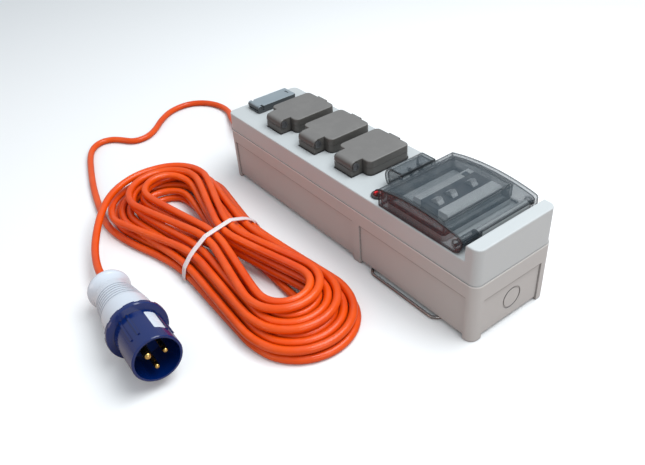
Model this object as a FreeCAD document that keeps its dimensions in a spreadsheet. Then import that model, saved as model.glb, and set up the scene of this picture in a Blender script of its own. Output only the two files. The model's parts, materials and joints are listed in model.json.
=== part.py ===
"""Mobile mains hook-up unit: a floor-standing distribution box with three lidded outlets, a charging
outlet, a breaker bay under a clear flap, a wire bail and a hanked lead with a round inlet plug.

Frame: +X runs along the box from the cable end to the breaker end, +Y goes across it, away from the
near long side, and +Z is up. The origin is on the floor under the middle of the box. Millimetres.
"""
import FreeCAD, Part
import math
import os

import Sketcher
from FreeCAD import Rotation, Vector

NODE_FOLDER = "parts"
doc = FreeCAD.newDocument("mains_unit")

# Driving sizes in millimetres (angles in degrees), each with its own cell in the sheet.
SIZES = {
    # Enclosure
    "body_length": 413, "body_width": 105, "foot_height": 4.5, "seam_height": 67.5, "lid_height": 22.5,
    "corner_radius": 9, "lid_inset": 1, "wall": 2.5, "panel_depth": 1.8, "band_height": 16.5,
    "end_band_height": 20, "pillar_length": 11, "pillar_width": 13, "mid_pillar_place": 37,
    "mid_pillar_length": 11, "edge_round": 1.4, "end_block_length": 14.8, "end_block_height": 17.5,
    "knockout_place": 2, "knockout_height": 26, "knockout_radius": 12.4, "knockout_groove": 2,
    "seal_width": 1.8, "seal_height": 1.6, "seal_clearance": 0.1, "screw_radius": 2,
    "screw_head_radius": 3.5, "screw_head_height": 2.6, "screw_length": 26, "screw_clearance": 0.2,
    "screw_inset_long": 6.2, "screw_inset_wide": 7.2, "post_radius": 5.5, "slide_clearance": 0.3,
    # Lidded outlets
    "outlet_first": -123, "outlet_pitch": 64.5, "outlet_length": 52, "outlet_near": -22,
    "outlet_far": 34, "outlet_frame_height": 8.5, "outlet_lid_height": 8.2, "outlet_round": 6,
    "outlet_pocket": 42, "outlet_wall": 2, "outlet_depth": 26, "outlet_gasket": 0.8,
    "gasket_margin": 0.8, "face_thickness": 4, "face_drop": 2.5, "pin_pitch": 22.2,
    "earth_slot_width": 4.6, "earth_slot_height": 8.6, "line_slot_width": 7, "line_slot_height": 4.6,
    "contact_wall": 1.4, "lid_wall": 2.2, "lip_length": 16, "lip_proud": 2.6,
    "lip_height": 4, "lip_drop": 0.8,
    "hinge_block_length": 28, "hinge_block_near": -37, "outlet_hinge_place": -31.5,
    "outlet_hinge_height": 11.2, "nose_radius": 5.9, "nose_round": 5, "nose_clearance": 0.35,
    "nose_skin": 0.6,
    "lug_length": 10, "lug_radius": 3.6, "arm_thickness": 4, "arm_angle": 30, "pin_head_radius": 4.1,
    "pin_head_length": 1.6, "ear_gap": 0.3, "hinge_pin_radius": 1.5, "pin_clearance": 0.05,
    "spring_wire": 0.5, "spring_turns": 5, "spring_length": 6, "spring_clearance": 0.3,
    "barrel_clearance": 0.4,
    # Charging outlet
    "charger_place": -183, "charger_length": 24, "charger_near": -27, "charger_far": 29,
    "charger_frame_height": 2, "charger_cover_height": 6.7, "charger_round": 3,
    "charger_nose_radius": 3.4, "charger_lug_length": 3.2, "charger_pocket_length": 18,
    "charger_pocket_near": -14, "charger_pocket_far": 25, "charger_port_width": 13.2,
    "charger_port_height": 5.6, "charger_port_pitch": 17, "charger_depth": 22,
    # Neon indicator
    "neon_place": 64, "neon_inset": 13, "neon_bezel_radius": 7.6, "neon_bezel_height": 2.4,
    "neon_lens_radius": 5.6, "neon_lens_height": 5, "neon_stem_radius": 5, "neon_stem_depth": 12,
    # Breaker bay
    "collar_start": 84, "collar_end": 160, "collar_half_width": 46, "collar_height": 6,
    "collar_seal": 1.4, "rail_place": 128, "rail_width": 35, "rail_height": 7.5, "rail_sheet": 1.2,
    "rail_near_gap": 9, "rail_far_gap": 5.5, "rail_drop": 47, "module_pitch": 18, "module_near": -31,
    "module_gap": 0.3, "module_length": 82, "nose_length": 45, "shoulder_drop": 9, "nose_headroom": 8,
    "toggle_width": 7, "toggle_radius": 6.6, "toggle_height": 7.6, "toggle_pin_radius": 1.5,
    "toggle_drop": 3, "test_button_size": 6, "test_button_proud": 1.4, "test_button_depth": 5,
    "terminal_bar_length": 46, "terminal_bar_width": 8, "terminal_bar_height": 10,
    "terminal_bar_place": 40, "terminal_pitch": 6, "terminal_count": 7, "terminal_bore": 1.6,
    "earth_bar_inset": 18.5, "neutral_bar_inset": 22.5, "rail_post_radius": 4.5,
    "rail_screw_head": 3, "rail_screw_inset": 4.6, "rail_screw_length": 10,
    # Clear flap over the breakers
    "flap_start": 77.4, "flap_end": 185.2, "flap_half_width": 50.3, "flap_gap": 0.6,
    "flap_height": 25, "flap_rise": 5.7, "flap_wall": 2, "skirt_inset": 0.6, "skirt_wall": 1.8,
    "flap_hinge_place": 177.5, "flap_hinge_lift": 8.5, "flap_barrel_radius": 4.6,
    "lug_near": -24, "lug_far": 43.2, "lug_half_width": 4, "tab_near": -20, "tab_far": 25,
    "tab_reach": 25, "tab_lift": 2.7, "tab_drop": 20, "tab_end_wall": 1.8, "hook_thickness": 1.6,
    "hook_reach": 7, "hook_near": -5, "hook_far": 7,
    # Wire bail under the box
    "bail_start": 65, "bail_end": 164, "bail_reach": 56.5, "bail_wire": 1.5, "bail_height": 2.4,
    "bail_pivot": 18, "bail_round": 9, "bail_foot": 9, "bail_clearance": 0.1, "bail_boss": 4.5,
    # Cable gland
    "gland_thread_radius": 10, "gland_hex": 24, "gland_hex_thickness": 6, "gland_nut_radius": 11.6,
    "gland_nut_length": 15, "gland_tail_radius": 6.2, "gland_tail_length": 14, "gland_inside": 12,
    "gland_locknut": 27, "gland_locknut_thickness": 5, "gland_clearance": 0.2, "gland_seal_length": 12,
    # Cord
    "cord_diameter": 8.5, "hank_side_step": 11, "hank_waist_step": 14, "hank_layer_step": 9.25,
    "hank_laps_per_layer": 3, "hank_layers": 4, "hank_middle": -158, "hank_waist_place": -65,
    "hank_lobe_half_width": 60.3, "hank_waist_half_width": 47.25, "hank_far_tip": -245.5,
    "hank_far_step": 18, "hank_near_tip": 135.5, "hank_near_step": 14, "hank_tie_lift": 2,
    "hank_tip_skew": 2.5, "lay_step": 10,
    "tie_width": 4.8, "tie_thickness": 1.3, "tie_clearance": 0.4, "tie_head": 6, "tie_turn": 11,
    # Wiring inside
    "inner_lead_end": 15, "core_radius": 1.7, "core_circle": 2.2, "core_clearance": 0.3,
    # Plug
    "plug_tail_place": -78.5, "plug_tail_across": -284.5, "plug_tail_level": 21.3, "plug_yaw": -3.4,
    "plug_pitch": 5.56, "plug_length": 142, "plug_tail_radius": 21, "plug_neck_radius": 20,
    "plug_grip_radius": 25.5, "plug_flare_length": 17, "plug_heel_round": 6, "plug_heel": 2.5,
    "plug_neck_place": 24, "plug_flange_place": 87,
    "plug_flange_length": 8, "plug_flange_radius": 30, "plug_shroud_radius": 23.4,
    "plug_shroud_wall": 2.4, "plug_wall": 2.5, "plug_cup_depth": 38, "plug_insert_thickness": 20,
    "plug_pin_circle": 9.5, "plug_earth_radius": 3.5, "plug_line_radius": 2.5, "plug_pin_length": 37,
    "plug_cord_entry": 12, "plug_earth_extra": 2, "plug_pin_root": 0.6, "plug_pin_tail": 8,
    "plug_key_width": 6, "plug_key_height": 2.2, "plug_key_length": 38,
    "plug_rib_width": 2.2, "plug_rib_height": 1, "plug_rib_length": 33, "plug_notch_width": 5,
    "plug_notch_depth": 1.6, "plug_clamp_length": 12, "plug_clamp_width": 26, "plug_clearance": 0.2,
    "plug_groove_pitch": 4.8, "plug_groove_width": 2.2, "plug_groove_count": 6, "plug_pin_turn": -12,
}


class Size:
    """A length that knows both its number and the sheet formula that gives it."""

    def __init__(self, number, text):
        self.number = float(number)
        self.text = text

    @staticmethod
    def of(value):
        if isinstance(value, Size):
            return value
        return Size(value, repr(float(value)))

    def __float__(self):
        return self.number

    def __add__(self, other):
        other = Size.of(other)
        return Size(self.number + other.number, f"({self.text} + {other.text})")

    def __sub__(self, other):
        other = Size.of(other)
        return Size(self.number - other.number, f"({self.text} - {other.text})")

    def __mul__(self, other):
        other = Size.of(other)
        return Size(self.number * other.number, f"({self.text} * {other.text})")

    def __truediv__(self, other):
        other = Size.of(other)
        return Size(self.number / other.number, f"({self.text} / {other.text})")

    def __radd__(self, other):
        return Size.of(other) + self

    def __rsub__(self, other):
        return Size.of(other) - self

    def __rmul__(self, other):
        return Size.of(other) * self

    def __neg__(self):
        return Size(-self.number, f"(-{self.text})")


class Sheet:
    """The spreadsheet of driving sizes: sheet.alias gives the Size of that cell."""

    def __init__(self, sizes):
        self.cells = doc.addObject("Spreadsheet::Sheet", "dims")
        for row, (alias, number) in enumerate(sizes.items(), start=1):
            self.cells.set(f"A{row}", alias)
            self.cells.set(f"B{row}", str(number))
            self.cells.setAlias(f"B{row}", alias)
        doc.recompute()

    def __getattr__(self, alias):
        return Size(getattr(self.cells, alias), f"dims.{alias}")


d = Sheet(SIZES)
PIECES = {}


# Helpers: bound primitives, outlines and booleans

def bind(thing, name, value):
    thing.setExpression(name, Size.of(value).text)


def put(thing, x, y, z):
    for axis, value in zip("xyz", (x, y, z)):
        bind(thing, f"Placement.Base.{axis}", value)
    return thing


def box(x0, x1, y0, y1, z0, z1):
    """A block between two places on each axis."""
    block = doc.addObject("Part::Box", "block")
    bind(block, "Length", Size.of(x1) - x0)
    bind(block, "Width", Size.of(y1) - y0)
    bind(block, "Height", Size.of(z1) - z0)
    return put(block, x0, y0, z0)


TURN_TO = {"x": Rotation(Vector(0, 1, 0), 90), "y": Rotation(Vector(1, 0, 0), -90), "z": Rotation()}


def rod(axis, x, y, z, radius, length):
    """A round bar that starts at a place and runs along one axis."""
    bar = doc.addObject("Part::Cylinder", "bar")
    bind(bar, "Radius", radius)
    bind(bar, "Height", length)
    bar.Placement = FreeCAD.Placement(Vector(), TURN_TO[axis])
    return put(bar, x, y, z)


def cone(axis, x, y, z, radius, end_radius, length):
    taper = doc.addObject("Part::Cone", "taper")
    bind(taper, "Radius1", radius)
    bind(taper, "Radius2", end_radius)
    bind(taper, "Height", length)
    taper.Placement = FreeCAD.Placement(Vector(), TURN_TO[axis])
    return put(taper, x, y, z)


def join(*things):
    fused = doc.addObject("Part::MultiFuse", "joined")
    fused.Shapes = list(things)
    fused.Refine = True
    return fused


def cut(thing, *tools):
    result = doc.addObject("Part::Cut", "cut")
    result.Base = thing
    result.Tool = tools[0] if len(tools) == 1 else join(*tools)
    result.Refine = True
    return result


def common(thing, other):
    result = doc.addObject("Part::Common", "shared")
    result.Base = thing
    result.Tool = other
    result.Refine = True
    return result


def rounded(thing, radius, wanted):
    """Round the edges for which wanted(edge) is true."""
    doc.recompute()
    edges = [n for n, edge in enumerate(thing.Shape.Edges, start=1) if wanted(edge)]
    if not edges:
        raise RuntimeError(f"no edge to round on {thing.Name}")
    result = doc.addObject("Part::Fillet", "rounded")
    result.Base = thing
    result.Edges = [(n, float(radius), float(radius)) for n in edges]
    return result


def along(axis):
    """True for straight edges that run along one axis."""
    directions = {"x": Vector(1, 0, 0), "y": Vector(0, 1, 0), "z": Vector(0, 0, 1)}

    def wanted(edge):
        if len(edge.Vertexes) < 2:
            return False
        run = edge.Vertexes[1].Point - edge.Vertexes[0].Point
        straight = isinstance(edge.Curve, Part.Line)
        return straight and run.Length > 0.01 and run.cross(directions[axis]).Length < 0.001
    return wanted


def at_level(height, keep=lambda box_of_edge: True):
    """True for edges that lie flat at one height."""
    def wanted(edge):
        limits = edge.BoundBox
        level = abs(limits.ZMin - float(height)) < 0.01 and abs(limits.ZMax - float(height)) < 0.01
        return level and keep(limits)
    return wanted


def rounded_box(x0, x1, y0, y1, z0, z1, radius):
    """A block whose upright edges are rounded."""
    return rounded(box(x0, x1, y0, y1, z0, z1), radius, along("z"))


def outline(sketch, points):
    """Draw a closed outline, counter-clockwise, and bind each corner to its sizes.

    A point is (across, up) or (across, up, radius): with a radius, the stretch to the next point is
    an arc of that radius that bulges outwards, or inwards if the radius is negative.
    """
    count = len(points)
    ends = []
    for n, point in enumerate(points):
        start = Vector(float(point[0]), float(point[1]), 0)
        after = points[(n + 1) % count]
        end = Vector(float(after[0]), float(after[1]), 0)
        if len(point) == 2:
            edge = sketch.addGeometry(Part.LineSegment(start, end), False)
            ends.append((edge, 1, 2))
            continue
        radius = float(point[2])
        chord = end - start
        reach = math.sqrt(max(radius * radius - chord.Length ** 2 / 4, 0))
        left = Vector(-chord.y, chord.x, 0).normalize()
        side = 1 if radius > 0 else -1
        centre = (start + end) * 0.5 + left * reach * side
        first, last = (start, end) if radius > 0 else (end, start)
        circle = Part.Circle(centre, Vector(0, 0, 1), abs(radius))
        a0 = math.atan2(first.y - centre.y, first.x - centre.x)
        a1 = math.atan2(last.y - centre.y, last.x - centre.x)
        if a1 < a0:
            a1 += 2 * math.pi
        edge = sketch.addGeometry(Part.ArcOfCircle(circle, a0, a1), False)
        ends.append((edge, 1, 2) if radius > 0 else (edge, 2, 1))
    for n, (edge, _, tail) in enumerate(ends):
        after, head, _ = ends[(n + 1) % count]
        sketch.addConstraint(Sketcher.Constraint("Coincident", edge, tail, after, head))
    for (edge, head, _), point in zip(ends, points):
        for kind, value in (("DistanceX", point[0]), ("DistanceY", point[1])):
            place = sketch.addConstraint(Sketcher.Constraint(kind, -1, 1, edge, head, float(value)))
            bind(sketch, f"Constraints[{place}]", value)
        if len(point) == 3:
            size = abs(float(point[2]))
            place = sketch.addConstraint(Sketcher.Constraint("Radius", edge, size))
            value = Size.of(point[2])
            bind(sketch, f"Constraints[{place}]", value if value.number > 0 else -value)


def new_sketch(body, plane, offset):
    """A sketch on one of the body's own origin planes, moved along the plane's normal."""
    sketch = body.newObject("Sketcher::SketchObject", "outline")
    face = next(item for item in body.Origin.OriginFeatures if item.Role == f"{plane}_Plane")
    sketch.AttachmentSupport = [(face, "")]
    sketch.MapMode = "FlatFace"
    bind(sketch, "AttachmentOffset.Base.z", offset)
    return sketch


def extruded(plane, points, start, end):
    """A body padded from an outline on XY, XZ or YZ between two places along the third axis."""
    body = doc.addObject("PartDesign::Body", "body")
    start, end = Size.of(start), Size.of(end)
    sketch = new_sketch(body, plane, -end if plane == "XZ" else start)
    outline(sketch, points)
    pad = body.newObject("PartDesign::Pad", "pad")
    pad.Profile = sketch
    bind(pad, "Length", end - start)
    body.Tip = pad
    return body


def turned(points):
    """A body turned about its own X axis from an outline of (along, radius) points."""
    body = doc.addObject("PartDesign::Body", "body")
    sketch = new_sketch(body, "XZ", 0)
    outline(sketch, points)
    turn = body.newObject("PartDesign::Revolution", "turn")
    turn.Profile = sketch
    turn.ReferenceAxis = (sketch, ["H_Axis"])
    turn.Angle = 360
    body.Tip = turn
    return body


def piece(thing, label):
    thing.Label = label
    PIECES[label] = thing
    return thing


def grouped(label, things):
    """Several separate solids that share one node."""
    group = doc.addObject("Part::Compound", "group")
    group.Links = list(things)
    return piece(group, label)


# Places that more than one piece uses

half_length = d.body_length / 2
half_width = d.body_width / 2
lid_top = d.seam_height + d.lid_height
block_top = lid_top + d.end_block_height
lid_half_length = half_length - d.lid_inset
lid_half_width = half_width - d.lid_inset
block_start = lid_half_length - d.end_block_length
skin = d.wall + d.panel_depth
floor_top = d.foot_height + d.wall
band_bottom = d.seam_height - d.band_height
end_band_bottom = d.seam_height - d.end_band_height
screw_seat = d.seam_height - d.screw_length / 2
mid_pillar_end = d.mid_pillar_place + d.mid_pillar_length
lid_ceiling = lid_top - d.wall
gland_wall = -(half_length - d.panel_depth)
flap_crown = lid_top + d.flap_height
flap_side_top = flap_crown - d.flap_rise
flap_axis = lid_top + d.flap_hinge_lift
tab_top = flap_side_top + d.tab_lift
nose_top = flap_crown - d.nose_headroom
shoulder_top = lid_top - d.shoulder_drop
rail_level = lid_top - d.rail_drop
rail_near = d.rail_near_gap - half_width
rail_far = half_width - d.rail_far_gap
neon_across = d.neon_inset - lid_half_width
bay_near = d.module_near - d.module_gap
bay_far = d.module_near + d.module_pitch * 4 + d.module_gap
nose_start = d.rail_place - d.nose_length / 2
nose_end = d.rail_place + d.nose_length / 2
collar_top = lid_top + d.collar_height
screw_places = [(side * (half_length - d.screw_inset_long), way * (half_width - d.screw_inset_wide))
                for side in (-1, 1) for way in (-1, 1)]
rail_screw_places = [rail_near + d.rail_screw_inset, rail_far - d.rail_screw_inset]
outlet_places = [d.outlet_first + d.outlet_pitch * n for n in range(3)]
outlet_middle = (d.outlet_near + d.outlet_far) / 2
earth_bar_near = d.earth_bar_inset - half_width
neutral_bar_near = half_width - d.neutral_bar_inset
bail_bosses = [(d.bail_start + d.bail_foot - 5, d.bail_start + d.bail_foot + 1),
               (d.bail_end - d.bail_foot - 1, d.bail_end - d.bail_foot + 5)]


# Enclosure

def base_housing():
    """Lower shell with recessed side panels, corner and middle feet, screw posts and rail posts."""
    shell = rounded_box(-half_length, half_length, -half_width, half_width,
                        d.foot_height, d.seam_height, d.corner_radius)
    foot_block = rounded_box(-half_length, half_length, -half_width, half_width,
                             0, d.seam_height, d.corner_radius)
    inner_x = half_length - d.pillar_length
    inner_y = half_width - d.pillar_width
    feet = [box(x0, x1, y0, y1, 0, d.foot_height + 1)
            for x0, x1 in ((-half_length, -inner_x), (inner_x, half_length),
                           (d.mid_pillar_place, mid_pillar_end))
            for y0, y1 in ((-half_width, -inner_y), (inner_y, half_width))]
    feet = rounded(common(foot_block, join(*feet)), d.edge_round, at_level(0))
    shell = join(shell, feet)
    beyond = d.panel_depth + 5
    recesses = []
    for side in (-1, 1):
        edges = sorted((side * (half_width - d.panel_depth), side * (half_width + beyond)), key=float)
        for x0, x1 in ((-inner_x, d.mid_pillar_place), (mid_pillar_end, inner_x)):
            recesses.append(box(x0, x1, edges[0], edges[1], d.foot_height - 1, band_bottom))
        ends = sorted((side * (half_length - d.panel_depth), side * (half_length + beyond)), key=float)
        recesses.append(box(ends[0], ends[1], -inner_y, inner_y, d.foot_height - 1, end_band_bottom))
    ring = [rod("x", half_length - d.panel_depth - 0.8, d.knockout_place, d.knockout_height, radius, 3)
            for radius in (d.knockout_radius, d.knockout_radius - d.knockout_groove)]
    cavity = rounded_box(-half_length + skin, half_length - skin, -half_width + skin,
                         half_width - skin, floor_top, d.seam_height + 1, d.corner_radius - d.wall)
    shell = cut(shell, cavity, cut(ring[0], ring[1]), *recesses)
    posts = [rod("z", x, y, d.foot_height, d.post_radius, d.seam_height - d.foot_height)
             for x, y in screw_places]
    posts = [common(post, foot_block) for post in posts]
    posts += [rod("z", d.rail_place, y, floor_top - d.wall / 2, d.rail_post_radius,
                  rail_level - floor_top + d.wall / 2) for y in rail_screw_places]
    posts += [box(x0, x1, d.bail_pivot - d.bail_boss, d.bail_pivot + d.bail_boss, 0, floor_top)
              for x0, x1 in bail_bosses]
    shell = join(shell, *posts)
    holes = []
    for x, y in screw_places:
        head_hole = d.screw_head_radius + d.screw_clearance
        holes.append(rod("z", x, y, -1, head_hole, screw_seat + 1))
        holes.append(rod("z", x, y, 0, d.screw_radius + d.screw_clearance, d.seam_height + 1))
    for y in rail_screw_places:
        holes.append(rod("z", d.rail_place, y, rail_level - d.rail_screw_length - 2, d.screw_radius,
                         d.rail_screw_length + 3))
    holes.append(rod("x", -half_length - 1, d.knockout_place, d.knockout_height,
                     d.gland_thread_radius + d.gland_clearance, skin + 2))
    seal_in = d.panel_depth / 2 + 0.4
    outer = rounded_box(-half_length + seal_in, half_length - seal_in, -half_width + seal_in,
                        half_width - seal_in, d.seam_height - d.seal_height, d.seam_height + 1,
                        d.corner_radius - seal_in)
    inner_in = seal_in + d.seal_width + 2 * d.seal_clearance
    inner = rounded_box(-half_length + inner_in, half_length - inner_in, -half_width + inner_in,
                        half_width - inner_in, d.seam_height - d.seal_height - 1,
                        d.seam_height + 2, d.corner_radius - inner_in)
    holes.append(cut(outer, inner))
    for x0, x1 in bail_bosses:
        holes.append(rod("x", x0 - 1, d.bail_pivot, d.bail_height, d.bail_wire + d.bail_clearance,
                         x1 - x0 + 2))
    piece(cut(shell, *holes), "base_housing")


def lid_housing():
    """Upper shell: raised end block, breaker collar, hinge lug, posts and openings on top."""
    edge = (-lid_half_length, lid_half_length, -lid_half_width, lid_half_width)
    top_round = d.corner_radius - d.lid_inset
    deck = rounded_box(*edge, d.seam_height, lid_top, top_round)
    tower = rounded_box(*edge, d.seam_height, block_top, top_round)
    tower = common(tower, box(block_start, lid_half_length, -half_width, half_width,
                              d.seam_height, block_top))
    outer = rounded(join(deck, tower), d.edge_round, lambda e: at_level(lid_top)(e)
                    and abs(e.BoundBox.Center.x - float(block_start)) > 1
                    or at_level(block_top)(e))
    collar = rounded_box(d.collar_start, d.collar_end, -d.collar_half_width, d.collar_half_width,
                         lid_ceiling, collar_top, 4)
    lug_low = box(d.flap_hinge_place - d.lug_half_width, d.flap_hinge_place + d.lug_half_width,
                  d.lug_near, d.lug_far, lid_ceiling, flap_axis)
    lug = rod("y", d.flap_hinge_place, d.lug_near, flap_axis, d.flap_barrel_radius,
              d.lug_far - d.lug_near)
    inside = [rounded_box(-lid_half_length + skin, lid_half_length - skin, -lid_half_width + skin,
                          lid_half_width - skin, d.seam_height - 1, lid_ceiling, 4),
              rounded_box(block_start + d.wall, lid_half_length - d.wall - 1, -lid_half_width + skin,
                          lid_half_width - skin, d.seam_height + 1, block_top - d.wall, 3)]
    posts = [common(rod("z", x, y, d.seam_height, d.post_radius, d.lid_height - 1), deck)
             for x, y in screw_places]
    shell = join(cut(outer, *inside), collar, lug_low, lug, *posts)
    holes = [rod("z", x, y, d.seam_height - 1, d.screw_radius, d.screw_length / 2 + 2)
             for x, y in screw_places]
    half = d.outlet_pocket / 2 + d.outlet_wall + d.slide_clearance
    for x in outlet_places:
        holes.append(box(x - half, x + half, outlet_middle - half, outlet_middle + half,
                         lid_ceiling - 1, lid_top + 1))
    side = d.charger_pocket_length / 2 + d.wall / 2 + d.slide_clearance
    holes.append(box(d.charger_place - side, d.charger_place + side,
                     d.charger_pocket_near - d.slide_clearance - 1,
                     d.charger_pocket_far + d.slide_clearance + 1, lid_ceiling - 1, lid_top + 1))
    holes.append(rod("z", d.neon_place, neon_across, lid_ceiling - 1,
                     d.neon_stem_radius + d.pin_clearance * 2, d.wall + 2))
    holes.append(box(nose_start - d.module_gap, nose_end + d.module_gap, bay_near, bay_far,
                     lid_ceiling - 1, collar_top + 1))
    holes.append(box(d.collar_start + 3, d.collar_end - 3, -d.collar_half_width + 3,
                     d.collar_half_width - 3, lid_ceiling - 1, collar_top - d.wall))
    holes.append(rod("y", d.flap_hinge_place, d.lug_near - 1, flap_axis,
                     d.hinge_pin_radius + d.pin_clearance, d.lug_far - d.lug_near + 2))
    piece(cut(shell, *holes), "lid_housing")


def lid_gasket():
    """Seal cord that fills the groove in the base rim, all the way round."""
    near = d.panel_depth / 2 + 0.4 + d.seal_clearance
    rims = []
    for inset, drop in ((near, 0), (near + d.seal_width, 1)):
        rims.append(rounded_box(-half_length + inset, half_length - inset, -half_width + inset,
                                half_width - inset, d.seam_height - d.seal_height - drop,
                                d.seam_height + drop, d.corner_radius - inset))
    piece(cut(*rims), "lid_gasket")


def lid_screws():
    """Four screws that rise from the feet into the lid posts."""
    screws = []
    for x, y in screw_places:
        head = rod("z", x, y, screw_seat - d.screw_head_height, d.screw_head_radius,
                   d.screw_head_height)
        shank = rod("z", x, y, screw_seat - 1, d.screw_radius, d.screw_length + 1)
        slot = box(x - 2.4, x + 2.4, y - 0.5, y + 0.5, screw_seat - d.screw_head_height - 1,
                   screw_seat - d.screw_head_height + 1.2)
        cross = box(x - 0.5, x + 0.5, y - 2.4, y + 2.4, screw_seat - d.screw_head_height - 1,
                    screw_seat - d.screw_head_height + 1.2)
        screws.append(cut(join(head, shank), slot, cross))
    grouped("lid_screws", screws)


# Lidded outlets

frame_base = lid_top + d.outlet_gasket
frame_top = lid_top + d.outlet_frame_height
outlet_lid_base = frame_top + d.slide_clearance
outlet_lid_top = outlet_lid_base + d.outlet_lid_height
outlet_axis = lid_top + d.outlet_hinge_height
pocket_floor = lid_top - d.outlet_depth
face_top = frame_top - d.face_drop
spring_middle = d.hinge_pin_radius + d.spring_clearance + d.spring_wire
spring_reach = spring_middle + d.spring_wire + d.spring_clearance
spring_room_length = d.spring_length + 2 * (d.spring_wire + d.spring_clearance)
spring_start = d.lug_length / 2 + d.ear_gap


def outlet_slots(x):
    """The earth slot nearest the hinge and the two line slots: (x0, x1, y0, y1) of each."""
    middle = outlet_middle
    earth_y = middle - d.pin_pitch / 2
    line_y = middle + d.pin_pitch / 2
    slots = [(x - d.earth_slot_width / 2, x + d.earth_slot_width / 2,
              earth_y - d.earth_slot_height / 2, earth_y + d.earth_slot_height / 2)]
    for side in (-1, 1):
        centre = x + side * d.pin_pitch / 2
        slots.append((centre - d.line_slot_width / 2, centre + d.line_slot_width / 2,
                      line_y - d.line_slot_height / 2, line_y + d.line_slot_height / 2))
    return slots


def hinge_arm(x, grow=0):
    """Arm that leans up from the frame to the hinge lug, in the middle of the hinge block."""
    half = d.lug_length / 2 + grow
    thick = d.arm_thickness + 2 * grow
    arm = box(x - half, x + half, 0, d.outlet_near - d.outlet_hinge_place, -thick / 2, thick / 2)
    doc.recompute()
    place = Vector(float(x - half), float(d.outlet_hinge_place), float(outlet_axis))
    lean = Rotation(Vector(1, 0, 0), -float(d.arm_angle))
    for axis in "xyz":
        arm.setExpression(f"Placement.Base.{axis}", None)
    arm.Placement = FreeCAD.Placement(place + lean.multVec(Vector(0, 0, -float(thick) / 2)), lean)
    return arm


def outlet_body(x, number):
    """Frame on the deck with its well below and the hinge block and lug at its near side."""
    half = d.outlet_length / 2
    frame = rounded_box(x - half, x + half, d.outlet_near, d.outlet_far, frame_base, frame_top,
                        d.outlet_round)
    well_half = d.outlet_pocket / 2 + d.outlet_wall
    well = box(x - well_half, x + well_half, outlet_middle - well_half, outlet_middle + well_half,
               pocket_floor - d.outlet_wall, frame_base + 1)
    block_half = d.hinge_block_length / 2
    block = box(x - block_half, x + block_half, d.hinge_block_near, d.outlet_near + 1,
                frame_base, frame_top)
    trough = rod("x", x - block_half - 1, d.outlet_hinge_place, outlet_axis,
                 d.nose_radius + d.nose_clearance, d.hinge_block_length + 2)
    lug_half = d.lug_length / 2
    lug = rod("x", x - lug_half, d.outlet_hinge_place, outlet_axis, d.lug_radius, d.lug_length)
    arm = hinge_arm(x)
    pocket_half = d.outlet_pocket / 2
    pocket = box(x - pocket_half, x + pocket_half, outlet_middle - pocket_half,
                 outlet_middle + pocket_half, pocket_floor, frame_top + 1)
    bore = rod("x", x - lug_half - 1, d.outlet_hinge_place, outlet_axis,
               d.hinge_pin_radius + d.pin_clearance, d.lug_length + 2)
    ledge = cut(box(x - pocket_half, x + pocket_half, outlet_middle - pocket_half,
                    outlet_middle + pocket_half, face_top - d.face_thickness - 2,
                    face_top - d.face_thickness),
                box(x - pocket_half + 2, x + pocket_half - 2, outlet_middle - pocket_half + 2,
                    outlet_middle + pocket_half - 2, face_top - d.face_thickness - 3,
                    face_top - d.face_thickness + 1))
    body = join(cut(join(cut(join(frame, well, block), pocket, trough), lug, arm), bore), ledge)
    piece(body, f"socket_body_{number}")


def outlet_face(x, number):
    """Face plate with an earth slot and two line slots, under the lid."""
    half = d.outlet_pocket / 2 - d.slide_clearance / 2
    plate = rounded_box(x - half, x + half, outlet_middle - half, outlet_middle + half,
                        face_top - d.face_thickness, face_top, 2)
    slots = [box(*slot, face_top - d.face_thickness - 1, face_top + 1) for slot in outlet_slots(x)]
    piece(cut(plate, *slots), f"socket_face_{number}")


def outlet_contacts(x, number):
    """Three sprung brass contacts that stand in the well under the slots."""
    contacts = []
    for x0, x1, y0, y1 in outlet_slots(x):
        grow = d.contact_wall
        outer = box(x0 - grow, x1 + grow, y0 - grow, y1 + grow, pocket_floor,
                    face_top - d.face_thickness - d.slide_clearance)
        inner = box(x0, x1, y0, y1, pocket_floor + grow, face_top)
        contacts.append(cut(outer, inner))
    grouped(f"socket_contacts_{number}", contacts)


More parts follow.
